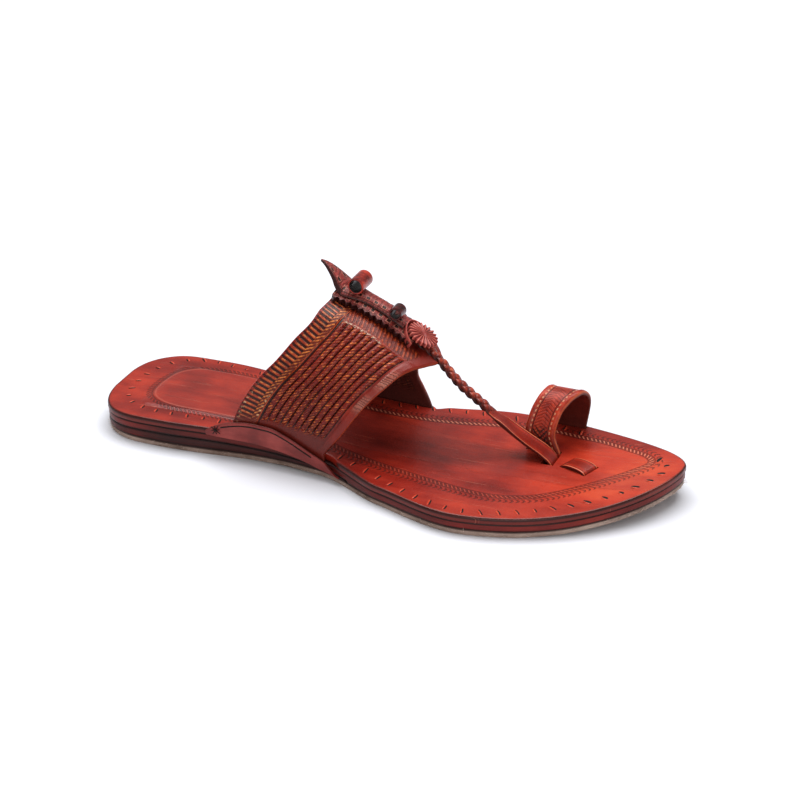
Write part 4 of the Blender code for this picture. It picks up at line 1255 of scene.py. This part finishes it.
def ringDetail(tree, colour, height, gloss):
    share = field(tree, "share")
    across = field(tree, "across")
    around = addNode(tree, "ShaderNodeMath", {0: field(tree, "around")}, operation="ABSOLUTE")
    outside = addNode(tree, "ShaderNodeMath", {0: 1.0, 1: field(tree, "flesh")}, operation="SUBTRACT")
    rows = combine(tree, stripe(tree, share, 0.18, 0.014, 0.02), stripe(tree, share, 0.82, 0.014, 0.02), 1.0)
    beads = times(tree, repeated(tree, around, ring["beadPitch"], 0.4, 0.35), rows, outside)
    channel = combine(tree, stripe(tree, share, 0.24, 0.008, 0.014), stripe(tree, share, 0.76, 0.008, 0.014), 1.0)
    channel = times(tree, channel, outside)
    # leaves cut into the lower part, point down
    middle = addNode(tree, "ShaderNodeMath", {0: share, 1: 0.5}, operation="SUBTRACT")
    middle = addNode(tree, "ShaderNodeMath", {0: middle}, operation="ABSOLUTE")
    veins = combine(tree, around, middle, 16.0)
    low = addNode(tree, "ShaderNodeMapRange", {0: around, 1: 20.0, 2: 22.0, 3: 0.0, 4: 1.0})
    leaves = times(tree, repeated(tree, veins, 2.6, 0.35, 0.45), low, stripe(tree, share, 0.5, 0.22, 0.02), outside)
    # small arrow cuts all round
    cuts = combine(tree, around, middle, -9.0)
    cuts = times(tree, repeated(tree, cuts, 1.6, 0.12, 0.3), stripe(tree, share, 0.5, 0.20, 0.03), outside)
    colour = tint(tree, colour, cuts, "#5a170e", 0.32)
    height = combine(tree, height, cuts, -0.25)
    # painted shade: the ring darkens down its lower legs
    lower = addNode(tree, "ShaderNodeMapRange", {0: around, 1: 17.0, 2: 28.0, 3: 0.0, 4: 0.5})
    colour = tint(tree, colour, times(tree, lower, outside), "#3c1210")
    colour = tint(tree, colour, leaves, "#240908", 0.8)
    colour = tint(tree, colour, channel, "#38100b", 0.7)
    colour = tint(tree, colour, beads, "#dca884", 0.6)
    height = combine(tree, height, leaves, -0.35)
    height = combine(tree, height, channel, -0.35)
    height = combine(tree, height, beads, 0.25)
    rims = combine(tree, stripe(tree, share, 0.0, 0.012, 0.03), stripe(tree, share, 1.0, 0.012, 0.03), 1.0)
    colour = tint(tree, colour, rims, "#c06844", 0.75)
    return fleshSide(tree, colour, height, gloss)


def makeRing():
    material = leather("ringLeatherTooled", dict(strapLeather, mottle=3 * mm, unevenness=0.6, crumpleDepth=0.34),
                       ringDetail)

    def surface(angle, share, depth):
        turn = math.radians(abs(angle))
        side = -1 if angle < 0 else 1
        back = last["length"] * through(ringRows, 1, angle)
        front = last["length"] * through(ringRows, 2, angle)
        middle = (back + front) / 2
        power = 2 / ring["fullness"]
        y = footbed["ringMiddle"] + side * (ring["span"] / 2 - depth) * math.sin(turn) ** power
        z = bedTop(middle) + (ring["height"] - depth) * max(0.0, math.cos(turn)) ** power
        return Vector((back + (front - back) * share, y, z))

    fine = spread(-90, 90, 0.5)
    angles = []
    line = [surface(angle, 0.5, 0) for angle in fine]
    for place in evenly(line, ring["step"]):
        index = min(len(fine) - 2, int(place))
        angles.append(fine[index] + (fine[index + 1] - fine[index]) * (place - index))
    around = [0.0]
    for before, after in zip(angles, angles[1:]):
        around.append(around[-1] + (surface(after, 0.5, 0) - surface(before, 0.5, 0)).length)
    around = [value - around[-1] / 2 for value in around]
    near = [0.0, 0.008, 0.02, 0.036]
    across = near + spread(0.036, 0.964, 0.028)[1:-1] + [1 - value for value in reversed(near)]

    def point(row, share, inner):
        index, drop = row
        angle = angles[index]
        width = last["length"] * (through(ringRows, 2, angle) - through(ringRows, 1, angle))
        fall = roundEdge(min(share, 1 - share) * width, ring["rim"])
        rise = ring["rimRise"] * (bump((share - 0.10) / 0.09) + bump((share - 0.90) / 0.09))
        depth = ring["wall"] - fall if inner else fall - rise
        spot = surface(angle, share, depth)
        if drop:
            low = middleTop(spot.x) + sole["gap"]
            spot.z += (low - spot.z) * drop
        # tone falls towards the ring's feet as painted shade
        tone = 0.66 + 0.1 * rough(spot, 9 * mm) - 0.12 * smoothStep((abs(around[index]) / mm - 20) / 8)
        return spot, share, share * width / mm, around[index] / mm, 1.0 if inner else 0.0, tone

    rows = [(0, 1.0), (0, 0.5)] + [(index, 0.0) for index in range(len(angles))]
    rows += [(len(angles) - 1, 0.5), (len(angles) - 1, 1.0)]
    mesh = gridWall(rows, across, lambda row, share: point(row, share, False),
                    lambda row, share: point(row, share, True), ("share", "across", "around", "flesh", "tone"))
    makePiece("toeRing", mesh, [material], ["toe_ring"], 50)
    print("toe ring made")


makeRing()


def makeTab():
    # the thong's end comes up again as a small flat loop
    material = leather("tabLeatherSmooth", dict(bedLeather, mottle=6 * mm), strapDetail)
    half = footbed["tabLength"] / 2
    wall = footbed["tabWall"]
    profile = [(math.sin(turn), max(0.0, math.cos(turn)) ** 0.35) for turn in
               spread(-math.pi / 2, math.pi / 2, math.pi / 26)]

    def point(row, share, outside):
        along, up = row
        reach = half + (wall / 2 if outside else -wall / 2)
        x, y = tabSpot(along * reach, share * footbed["tabWidth"] / 2)
        fall = roundEdge((1 - abs(share)) * footbed["tabWidth"] / 2, 0.45 * mm)
        top = bedTop(x) + footbed["tabRise"] * up + (wall - fall if outside else fall)
        low = middleTop(x) + 2 * sole["gap"]
        z = low + (top - low) * max(0.0, up) if up < 0.99 else top
        return Vector((x, y, z)), abs(share), 0.62, 0.0 if outside else 1.0

    across = [-1, -0.97, -0.92, -0.85] + spread(-0.75, 0.75, 0.15) + [0.85, 0.92, 0.97, 1]
    mesh = gridWall(profile, across, lambda row, share: point(row, share, True),
                    lambda row, share: point(row, share, False), ("side", "tone", "flesh"))
    makePiece("thongLoop", mesh, [material], ["thong_tab"])


makeTab()


# Side flaps with their sewing

flapRise = 7 * mm
flapWall = 1.3 * mm
# along as a share of the length, top and bottom over the insole as shares of the rise
flapRows = {
    lateral: ((0.222, 0.00, -0.36), (0.240, 0.42, -0.40), (0.262, 0.74, -0.42), (0.300, 0.98, -0.42),
              (0.335, 0.96, -0.50), (0.370, 0.62, -0.60), (0.405, 0.14, -0.76), (0.440, -0.28, -0.94),
              (0.468, -0.60, -0.98)),
    medial: ((0.310, 0.00, -0.36), (0.328, 0.42, -0.40), (0.350, 0.74, -0.42), (0.390, 0.98, -0.46),
             (0.430, 0.96, -0.54), (0.465, 0.62, -0.66), (0.500, 0.14, -0.78), (0.530, -0.28, -0.94),
             (0.555, -0.60, -0.98)),
}
trimLeather = {
    "colours": ((0.0, "#180505"), (0.3, "#461612"), (0.55, "#7c2e2a"), (0.8, "#a44a44"), (1.0, "#c46e60")),
    "mottle": 9 * mm,
    "streak": (1 / (18 * mm), 1 / (4 * mm), 1 / (4 * mm)),
    "unevenness": 0.34,
    "grain": 0.4 * mm,
    "grainDepth": 0.04,
    "crumpleDepth": 0.10,
    "gloss": 0.40,
    "wax": 0.35,
    "waxRoughness": 0.3,
}


def flapPoint(x, side, share, offset):
    rows = flapRows[side]
    high = bedTop(x) + flapRise * through(rows, 1, x / last["length"])
    low = bedTop(x) + flapRise * through(rows, 2, x / last["length"])
    z = low + (high - low) * share
    turn = 0.0
    up = z - bedTop(x)
    if up > 0:
        turn = math.asin(min(1.0, (up / rise(x)) ** (last["instepFull"] / 2)))
    lean = abs(footLine(x, side) - last["crestSide"]) * (1 - math.cos(turn) ** (2 / last["instepFull"]))
    return Vector((x, edge(x, side) + side * (sole["gap"] + offset - lean), z))


def flapDetail(tree, colour, height, gloss):
    # rolled dark edge
    share = field(tree, "share")
    lip = addNode(tree, "ShaderNodeMapRange", {0: share, 1: 0.93, 2: 1.0, 3: 0.0, 4: 1.0})
    colour = tint(tree, colour, lip, "#3a1412", 0.6)
    return fleshSide(tree, colour, height, gloss)


def makeFlap(name, side, node, material):
    rows = flapRows[side]
    start = rows[0][0] * last["length"]
    end = rows[-1][0] * last["length"]
    across = [0, 0.04, 0.1] + spread(0.2, 0.85, 0.07) + [0.90, 0.94, 0.97, 0.99, 1]

    def point(x, share, outside):
        tall = flapRise * (through(rows, 1, x / last["length"]) - through(rows, 2, x / last["length"]))
        share *= max(0.12, smoothStep((end - x) / (9 * mm)))
        fall = roundEdge((1 - share) * tall, 0.6 * mm)
        push = 0.5 * mm * smoothStep(share) + 0.12 * mm * rough((x, share * 0.01, 0.2), 8 * mm)
        spot = flapPoint(x, side, share, push + (flapWall - fall if outside else fall))
        return spot, share, 0.0 if outside else 1.0, 0.60 + 0.16 * rough(spot, 11 * mm)

    mesh = gridWall(spread(start, end, 0.9 * mm), across, lambda x, share: point(x, share, True),
                    lambda x, share: point(x, share, False), ("share", "flesh", "tone"))
    makePiece(name, mesh, [material], [node])


trim = leather("flapLeatherDyedDark", trimLeather, flapDetail)
makeFlap("flapLateral", lateral, "side_flap_lateral", trim)
makeFlap("flapMedial", medial, "side_flap_medial", trim)


# Strips, rolled tubes and rosette on the crest

crest = {
    "pinkedWidth": 17 * mm,
    "pinkedWall": 2.6 * mm,
    "toothPitch": 2.8 * mm,
    "toothDepth": 1.7 * mm,
    "tailWidth": 13 * mm,
    "tailWall": 2.4 * mm,
    "tailTipWall": 0.8 * mm,
    "tailDroop": 0.9 * mm,
    "tailReach": 14 * mm,
    "tailStep": 3.2 * mm,
    "start": 0.402,
    "pinkedEnd": 0.540,
    "backTube": (0.4325, 3.8 * mm, (-6 * mm, 5 * mm)),
    "frontTube": (0.498, 3.0 * mm, (-5.8 * mm, 0.6 * mm)),
    "tubeWall": 1.0 * mm,
    "rosettePlace": 0.5445,
    "rosetteRadius": 7.4 * mm,
    "rosetteWall": 1.8 * mm,
    "flutes": 20,
    "fluteDepth": 0.6 * mm,
    "fluteNotch": 0.9 * mm,
    "boss": 1.5 * mm,
    "seat": 0.3 * mm,
}
# back from the last point on the crest and up from it, as shares of the reach, and width
tailRows = ((0.0, 0.0, 1.0), (0.18, 0.17, 0.88), (0.37, 0.37, 0.62), (0.57, 0.54, 0.40), (0.73, 0.64, 0.22),
            (0.87, 0.69, 0.06))


def rimDetail(tree, colour, height, gloss):
    # cut edges are stained dark
    side = field(tree, "side")
    rim = addNode(tree, "ShaderNodeMapRange", {0: side, 1: 0.88, 2: 1.0, 3: 0.0, 4: 1.0})
    return tint(tree, colour, rim, "#220908", 0.75), height, gloss


def stripDetail(tree, colour, height, gloss):
    # two rows of punched holes, creases across, and a scored line beside each edge
    side = field(tree, "side")
    along = field(tree, "along")
    colour, height, gloss = rimDetail(tree, colour, height, gloss)
    # painted shade darkens the strip's edges under the teeth
    colour = tint(tree, colour, addNode(tree, "ShaderNodeMapRange", {0: side, 1: 0.84, 2: 0.95}), "#1c0706", 0.5)
    score = stripe(tree, side, 0.80, 0.02, 0.04)
    colour = tint(tree, colour, score, "#2c0e0c", 0.5)
    holes = times(tree, repeated(tree, along, 3.6, 0.45, 0.3), stripe(tree, side, 0.56, 0.07, 0.07))
    # the pale ring round each hole is a painted highlight on its pulled-up lip
    pulledLipHighlight = times(tree, repeated(tree, along, 3.6, 0.9, 0.4), stripe(tree, side, 0.56, 0.16, 0.10))
    wavy = addNode(tree, "ShaderNodeTexNoise", {"Vector": addNode(tree, "ShaderNodeTexCoord", out=3),
                                               "Scale": 1 / (3 * mm), "Detail": 3.0})
    creases = repeated(tree, combine(tree, along, wavy, 5.0), 1.9, 0.15, 0.45)
    colour = tint(tree, colour, times(tree, pulledLipHighlight, wavy), "#d08a78", 0.95)
    colour = tint(tree, colour, times(tree, creases, wavy), "#2e0d0a", 0.7)
    colour = tint(tree, colour, holes, "#0c0302", 0.95)
    height = combine(tree, height, score, -0.25)
    height = combine(tree, height, pulledLipHighlight, 0.3)
    height = combine(tree, height, creases, -0.22)
    height = combine(tree, height, holes, -0.8)
    return colour, height, gloss


def makeStrips():
    material = leather("stripLeatherDyedDark", dict(trimLeather, mottle=5 * mm), stripDetail)
    gap = sole["gap"]
    length = last["length"]
    start = crest["start"] * length
    end = crest["pinkedEnd"] * length
    teeth = round((end - start) / crest["toothPitch"])
    across = [-1, -0.96, -0.9, -0.8, -0.6, -0.4, -0.2, 0, 0.2, 0.4, 0.6, 0.8, 0.9, 0.96, 1]

    def pinked(step, share, outside):
        x = start + (end - start) * step / (8 * teeth)
        tooth = abs((step / 8) % 1.0 - 0.5) * 2
        half = crest["pinkedWidth"] / 2 + 0.3 * mm - crest["toothDepth"] * tooth * abs(share) ** 6
        fall = roundEdge((1 - abs(share)) * half, 0.3 * mm)
        height = gap + (crest["pinkedWall"] - fall if outside else 0.0)
        return aboveCrest(x, share * half, height), abs(share), 0.60, (x - start) / mm

    mesh = gridWall(range(8 * teeth + 1), across, lambda step, share: pinked(step, share, True),
                    lambda step, share: pinked(step, share, False), ("side", "tone", "along"))
    makePiece("pinkedStrip", mesh, [material], ["pinked_strip"])

    base = 2 * gap + crest["pinkedWall"]
    front = crest["rosettePlace"] * length - crest["rosetteRadius"]
    back = start + crest["tailStep"]
    root = aboveCrest(back, 0, base)
    rows = [("tail", at) for at in reversed(spread(0.05, tailRows[-1][0], 0.03))]
    rows += [("crest", x) for x in spread(back, front, 0.8 * mm)]

    def tail(row, share, outside):
        kind, at = row
        wide = 1.0 if kind == "crest" else through(tailRows, 2, at)
        half = wide * crest["tailWidth"] / 2
        fall = roundEdge((1 - abs(share)) * half, 0.45 * mm * wide ** 0.5)
        if kind == "crest":
            half *= 1 - 0.36 * smoothStep((at - back) / (12 * mm))
            fall += (crest["tailWall"] - fall) * 0.82 * abs(share) ** 3
            height = base + (crest["tailWall"] - fall if outside else 0.0)
            return aboveCrest(at, share * half, height), abs(share), 0.64, (at - back) / mm
        up = through(tailRows, 1, at)
        slope = (through(tailRows, 1, at + 0.04) - through(tailRows, 1, at - 0.04)) / 0.08
        along = Vector((-1, 0, slope)).normalized()
        normal = Vector((along.z, 0, -along.x))
        thick = crest["tailTipWall"] + (crest["tailWall"] - crest["tailTipWall"]) * wide
        droop = share ** 2 * wide * crest["tailDroop"]
        spot = root + crest["tailReach"] * Vector((-at, 0, up)) + Vector((0, share * half, 0))
        spot += (crest["tailWall"] - (fall if outside else thick) - droop) * normal
        return spot, abs(share), 0.64, -at * crest["tailReach"] / mm

    mesh = gridWall(rows, across, lambda row, share: tail(row, share, True),
                    lambda row, share: tail(row, share, False), ("side", "tone", "along"))
    makePiece("tailStrip", mesh, [material], ["tail_strip"])


def makeTubes():
    material = leather("tubeLeatherRolled", dict(bedLeather, mottle=2.2 * mm, unevenness=0.8, gloss=0.24,
                                                 wax=0.6), rimDetail)
    for name, node, sink, outer, (place, radius, long) in (("tubeBack", "bead_back", 0.5 * mm, 0.47, crest["backTube"]),
                                                           ("tubeFront", "bead_front", 1.6 * mm, 0.2,
                                                            crest["frontTube"])):
        mesh = bmesh.new()
        low, high = long
        soft = 0.3 * mm
        inside = radius - crest["tubeWall"]
        corners = ((radius, low + soft), (radius, high - soft), (radius - soft, high), (inside + soft, high),
                   (inside, high - soft), (inside, low + soft), (inside + soft, low), (radius - soft, low))
        verts = [mesh.verts.new((out, along, 0)) for out, along in corners]
        loop = [mesh.edges.new((verts[index], verts[(index + 1) % len(verts)])) for index in range(len(verts))]
        bmesh.ops.spin(mesh, geom=verts + loop, cent=(0, 0, 0), axis=(0, 1, 0), angle=2 * math.pi, steps=40,
                       use_merge=True, use_duplicate=False)
        height = 3 * sole["gap"] + crest["pinkedWall"] + crest["tailWall"] + radius - sink
        centre = aboveCrest(place * last["length"], 0, height) + toRow
        tone = mesh.verts.layers.float.new("tone")
        side = mesh.verts.layers.float.new("side")
        for vert in mesh.verts:
            out = math.hypot(vert.co.x, vert.co.z)
            # the bore gets a very low tone, painted shade inside the tube
            vert[tone] = outer if out > radius - 0.1 * mm else outer + 0.06 if out > inside + 0.1 * mm else -0.3
            vert[side] = 0.0
            vert.co += centre
        makePiece(name, mesh, [material], [node])


def makeRosette():
    material = leather("rosetteLeatherFluted", dict(trimLeather, mottle=3 * mm,
                                               streak=(1 / (4 * mm), 1 / (4 * mm), 1 / (4 * mm))), rimDetail)
    mesh = bmesh.new()
    tone = mesh.verts.layers.float.new("tone")
    side = mesh.verts.layers.float.new("side")
    radius = crest["rosetteRadius"]
    around = 8 * crest["flutes"]
    bmesh.ops.create_circle(mesh, cap_ends=True, radius=radius, segments=around)
    for inset in (0.25 * mm, 0.35 * mm, 0.8 * mm, 0.9 * mm, 1.1 * mm, 0.5 * mm, 1.2 * mm, 1.4 * mm):
        middle = [face for face in mesh.faces if len(face.verts) == around]
        bmesh.ops.inset_region(mesh, faces=middle, thickness=inset, use_boundary=True)
    grown = bmesh.ops.extrude_face_region(mesh, geom=list(mesh.faces), use_keep_orig=True)
    top = {item for item in grown["geom"] if isinstance(item, bmesh.types.BMVert)}
    x = crest["rosettePlace"] * last["length"]
    normal = instepNormal(x, 0)
    height = 2 * sole["gap"] + crest["pinkedWall"] + crest["seat"]
    turn = Matrix.Rotation(math.atan2(normal.x, normal.z), 4, "Y")
    for vert in mesh.verts:
        out = vert.co.xy.length
        angle = math.atan2(vert.co.y, vert.co.x)
        flute = (1 - math.cos(angle * crest["flutes"])) / 2
        ribbed = smoothStep((out - crest["boss"]) / (0.6 * mm))
        if vert in top:
            dome = 0.35 * mm * (1 - (out / radius) ** 2)
            edgeFall = roundEdge(radius - out, 0.5 * mm)
            vert.co.z = crest["rosetteWall"] + dome - crest["fluteDepth"] * flute * ribbed - edgeFall
            vert.co.z -= 0.3 * mm * bump((out - crest["boss"]) / (0.5 * mm))
        shrink = 1 - crest["fluteNotch"] / radius * flute * smoothStep((out / radius - 0.6) / 0.4)
        vert.co.x *= shrink
        vert.co.y *= shrink
        # painted light: the flute crests are lighter and the flute grooves darker
        vert[tone] = 0.70 + 0.32 * ribbed * (1 - flute) ** 3 - 0.22 * ribbed * flute
        vert[side] = 0.86 * smoothStep((out / radius - 0.9) / 0.1)
        vert.co = turn @ vert.co + instep(x, 0) + height * normal + toRow
    makePiece("rosetteDisc", mesh, [material], ["rosette"], 50)
    print("crest trim made")


def makeCollar():
    # a thin strip stands round the back of the rosette and runs down to the band
    material = leather("collarLeatherPale", dict(trimLeather, mottle=3 * mm), rimDetail)
    x = crest["rosettePlace"] * last["length"]
    normal = instepNormal(x, 0)
    ahead = Vector((normal.z, 0, -normal.x))

    def point(turn, share, out):
        radius = crest["rosetteRadius"] + 1.3 * mm + (0.3 * mm if out else -0.3 * mm)
        aside = abs(turn - math.pi) / (math.pi / 2)
        top = (5.7 - 2.7 * aside) * mm
        low = (3.0 - 2.9 * aside) * mm
        spot = instep(x, 0) + radius * (math.cos(turn) * ahead + Vector((0, math.sin(turn), 0)))
        spot += (low + (top - low) * share - 0.9 * mm * aside ** 2) * normal
        return spot, 0.86 * share ** 6, 0.62 + 0.2 * share

    mesh = gridWall(spread(0.62 * math.pi, 1.46 * math.pi, 0.05), spread(0, 1, 0.1),
                    lambda turn, share: point(turn, share, True), lambda turn, share: point(turn, share, False),
                    ("side", "tone"))
    makePiece("collarStrip", mesh, [material])


makeStrips()
makeTubes()
makeRosette()
makeCollar()


# Sewing round the footbed

seam = {
    "pitch": 7.8 * mm,
    "long": 4.3 * mm,
    "wide": 1.1 * mm,
    "high": 0.36 * mm,
    "lean": math.radians(14),
}


def makeSeam():
    # each stitch is a slit whose lip is pulled up, with dark thread in it
    lips = bmesh.new()
    threads = bmesh.new()
    line = smoothLine(inMillimetres(seamPoints), 0.8 * mm)
    rope = lineField(smoothLine(inMillimetres(ropePoints), 0.7 * mm))
    for number, place in enumerate(evenly([Vector((point.x, point.y, 0)) for point in line], seam["pitch"])[:-1]):
        index = min(len(line) - 2, int(place))
        spot = line[index].lerp(line[index + 1], place - index)
        run = (line[index + 1] - line[index]).normalized()
        if spot.y > 0 and spot.x > 0.80 * last["length"] and abs(rope(spot.x, spot.y)[0]) < 3 * mm:
            continue  # the rope runs over the seam there
        uneven = rough((number * 0.013, 0.4, 0.7), 0.02)
        toeward = smoothStep((spot.x / last["length"] - 0.80) / 0.08)
        turn = math.atan2(run.y, run.x) + math.pi / 2 + seam["lean"] * (1 + 2.2 * uneven + 1.2 * toeward)
        z = footbedTop(spot.x, spot.y)
        place = Matrix.Translation(Vector((spot.x, spot.y, z)) + toRow) @ Matrix.Rotation(turn, 4, "Z")
        size = (1 + 0.7 * uneven) * (0.72 if spot.x < 60 * mm else 1.0)
        lip = Matrix.Translation((0, 0.30 * mm, -0.02 * mm))
        lip = lip @ Matrix.Diagonal((seam["long"] / 2 * size, seam["wide"] / 2, seam["high"] * (1 - 0.5 * toeward), 1))
        slit = Matrix.Translation((0, -0.35 * mm, 0.02 * mm))
        slit = slit @ Matrix.Diagonal((seam["long"] / 2 * size, (0.42 + 0.55 * toeward) * mm, 0.2 * mm, 1))
        bmesh.ops.create_uvsphere(lips, u_segments=12, v_segments=8, radius=1.0, matrix=place @ lip)
        bmesh.ops.create_uvsphere(threads, u_segments=10, v_segments=6, radius=1.0, matrix=place @ slit)
    # the lips get a light tone, a painted highlight on the pulled-up leather; the thread stays dark
    for mesh, tone in ((lips, 0.78), (threads, 0.0)):
        layer = mesh.verts.layers.float.new("tone")
        for vert in mesh.verts:
            vert[layer] = tone
    makePiece("stitchLips", lips, [leather("lipLeatherPulledHighlight", dict(bedLeather, mottle=5 * mm))])
    makePiece("stitchThread", threads, [leather("threadWaxedDark", threadLook)])
    print("seams made")


threadLook = {
    "colours": ((0.0, "#0e0504"), (0.5, "#24100c"), (1.0, "#4a2a20")),
    "mottle": 1.5 * mm,
    "streak": (1 / (1 * mm), 1 / (1 * mm), 1 / (1 * mm)),
    "unevenness": 0.4,
    "grain": 0.3 * mm,
    "grainDepth": 0.1,
    "crumpleDepth": 0.1,
    "gloss": 0.55,
    "wax": 0.1,
    "waxRoughness": 0.4,
}


def threadRun(points, radius, mesh):
    # a round thread swept along points in row coordinates, added to the mesh
    line = []
    for index in range(len(points) - 1):
        before = points[max(0, index - 1)]
        after = points[min(len(points) - 1, index + 2)]
        start, end = points[index], points[index + 1]
        for number in range(6):
            t = number / 6
            bend = 2 * start + t * (end - before) + t * t * (2 * before - 5 * start + 4 * end - after)
            line.append((bend + t ** 3 * (3 * start - before - 3 * end + after)) / 2)
    line.append(points[-1])

    def point(index, turn):
        along = (line[min(index + 1, len(line) - 1)] - line[max(index - 1, 0)]).normalized()
        aside = along.cross(Vector((0, 0, 1))).normalized()
        up = aside.cross(along)
        end = min(index, len(line) - 1 - index)
        size = radius * (0.35 if end == 0 else 1.0)
        return line[index] + size * (math.cos(turn) * aside + math.sin(turn) * up), 0.4

    run = sweep(range(len(line)), 8, point, ("tone",))
    part = bpy.data.meshes.new("run")
    run.to_mesh(part)
    run.free()
    mesh.from_mesh(part)
    bpy.data.meshes.remove(part)


def makeFlapSewing():
    # dark thread along the lateral flap, and the star knot where it starts
    mesh = bmesh.new()
    for side, start, end in ((lateral, 0.248, 0.415), (medial, 0.336, 0.505)):
        places = spread(start * last["length"], end * last["length"], 5 * mm)
        points = []
        for x in places:
            rows = flapRows[side]
            tall = flapRise * (through(rows, 1, x / last["length"]) - through(rows, 2, x / last["length"]))
            points.append(flapPoint(x, side, 1 - 1.7 * mm / tall, flapWall + 0.45 * mm))
        threadRun(points, 0.32 * mm, mesh)
        knot = flapPoint((start - 0.008) * last["length"], side, 0.62, flapWall + 0.55 * mm)
        for number in range(4):
            turn = math.pi * (number + 0.3) / 4
            reach = 2.7 * mm if number % 2 else 2.1 * mm
            arm = Vector((math.cos(turn) * reach, 0, math.sin(turn) * reach))
            threadRun([knot - arm, knot + Vector((0, side * 0.25 * mm, 0)), knot + arm], 0.2 * mm, mesh)
    makePiece("flapSewing", mesh, [leather("threadWaxedBlack", threadLook)])


fibres = {"count": 520, "long": (0.9 * mm, 2.3 * mm), "thick": 0.09 * mm}


def makeFibres():
    # loose flesh fibres stand out of the tread's cut edge
    draw = random.Random(7)
    mesh = bmesh.new()
    for number in range(fibres["count"]):
        index = draw.randrange(len(outline) - 1)
        run = (outline[index + 1] - outline[index]).normalized()
        x, y = outline[index] + draw.random() * (outline[index + 1] - outline[index])
        out = Vector((run.y, -run.x, 0))
        long = draw.uniform(*fibres["long"]) * (1.3 if x > 0.6 * last["length"] else 0.7)
        aim = (out + Vector((draw.uniform(-0.9, 0.9), draw.uniform(-0.9, 0.9), draw.uniform(-0.1, 0.5)))).normalized()
        place = Vector((x, y, under(x) + draw.uniform(0.5, 2.4) * mm)) + toRow + (long / 2 - 0.9 * mm) * aim
        place.z = max(place.z, 0.15 * mm + abs(aim.z) * long / 2)
        matrix = Matrix.Translation(place) @ aim.to_track_quat("Z", "Y").to_matrix().to_4x4()
        bmesh.ops.create_cone(mesh, cap_ends=True, segments=4, radius1=fibres["thick"], depth=long,
                              radius2=0.3 * fibres["thick"], matrix=matrix)
    layer = mesh.verts.layers.float.new("tone")
    for vert in mesh.verts:
        vert[layer] = 0.9
    makePiece("treadFibres", mesh, [leather("fleshFibres", treadLeather)])


makeSeam()
makeFlapSewing()
makeFibres()


# Camera, light and floor

view = {
    "azimuth": math.radians(22.6),
    "elevation": math.radians(27.0),
    "distance": 1.100,
    "lens": 110.46,
    "target": Vector((0.0, 0.007335, 0.020)),
    "aside": 4.57 * mm,
    "above": 5.85 * mm,
}


def makeCamera():
    turn, rise = view["azimuth"], view["elevation"]
    back = Vector((math.sin(turn) * math.cos(rise), -math.cos(turn) * math.cos(rise), math.sin(rise)))
    right = Vector((0, 0, 1)).cross(back).normalized()
    up = back.cross(right)
    data = bpy.data.cameras.new("camera")
    data.lens = view["lens"]
    data.sensor_width = 36
    camera = bpy.data.objects.new("camera", data)
    bpy.context.scene.collection.objects.link(camera)
    camera.location = view["target"] + view["distance"] * back
    aim = view["target"] + view["aside"] * right + view["above"] * up
    camera.rotation_euler = (camera.location - aim).to_track_quat("Z", "Y").to_euler()
    bpy.context.scene.camera = camera


def makeLight(name, place, target, size, power, colour):
    data = bpy.data.lights.new(name, "AREA")
    data.shape = "RECTANGLE"
    data.size, data.size_y = size
    data.energy = power
    data.color = hexColour(colour)[:3]
    lamp = bpy.data.objects.new(name, data)
    bpy.context.scene.collection.objects.link(lamp)
    lamp.location = place
    lamp.rotation_euler = (Vector(place) - Vector(target)).to_track_quat("Z", "Y").to_euler()


def makeStudio():
    settings = bpy.context.scene.view_settings
    settings.view_transform = "Standard"
    settings.gamma = 0.88
    world = bpy.data.worlds.new("studio")
    world.use_nodes = True
    world.node_tree.nodes["Background"].inputs["Color"].default_value = hexColour("#ffffff")
    world.node_tree.nodes["Background"].inputs["Strength"].default_value = 0.40
    bpy.context.scene.world = world
    mesh = bmesh.new()
    bmesh.ops.create_grid(mesh, x_segments=2, y_segments=2, size=6.0)
    data = bpy.data.meshes.new("floor")
    mesh.to_mesh(data)
    mesh.free()
    floor = bpy.data.objects.new("floor", data)
    bpy.context.scene.collection.objects.link(floor)
    paper = bpy.data.materials.new("paperWhite")
    paper.use_nodes = True
    shader = paper.node_tree.nodes["Principled BSDF"]
    shader.inputs["Base Color"].default_value = hexColour("#d8dae0")
    shader.inputs["Roughness"].default_value = 0.9
    data.materials.append(paper)
    makeLight("overhead", (-0.1, 0.35, 1.4), (0, 0, 0), (1.6, 1.1), 31.0, "#ffffff")
    makeLight("frontFill", (0.5, -1.3, 0.6), (0, 0, 0), (1.2, 0.8), 8.0, "#fff6ee")


makeCamera()
makeStudio()
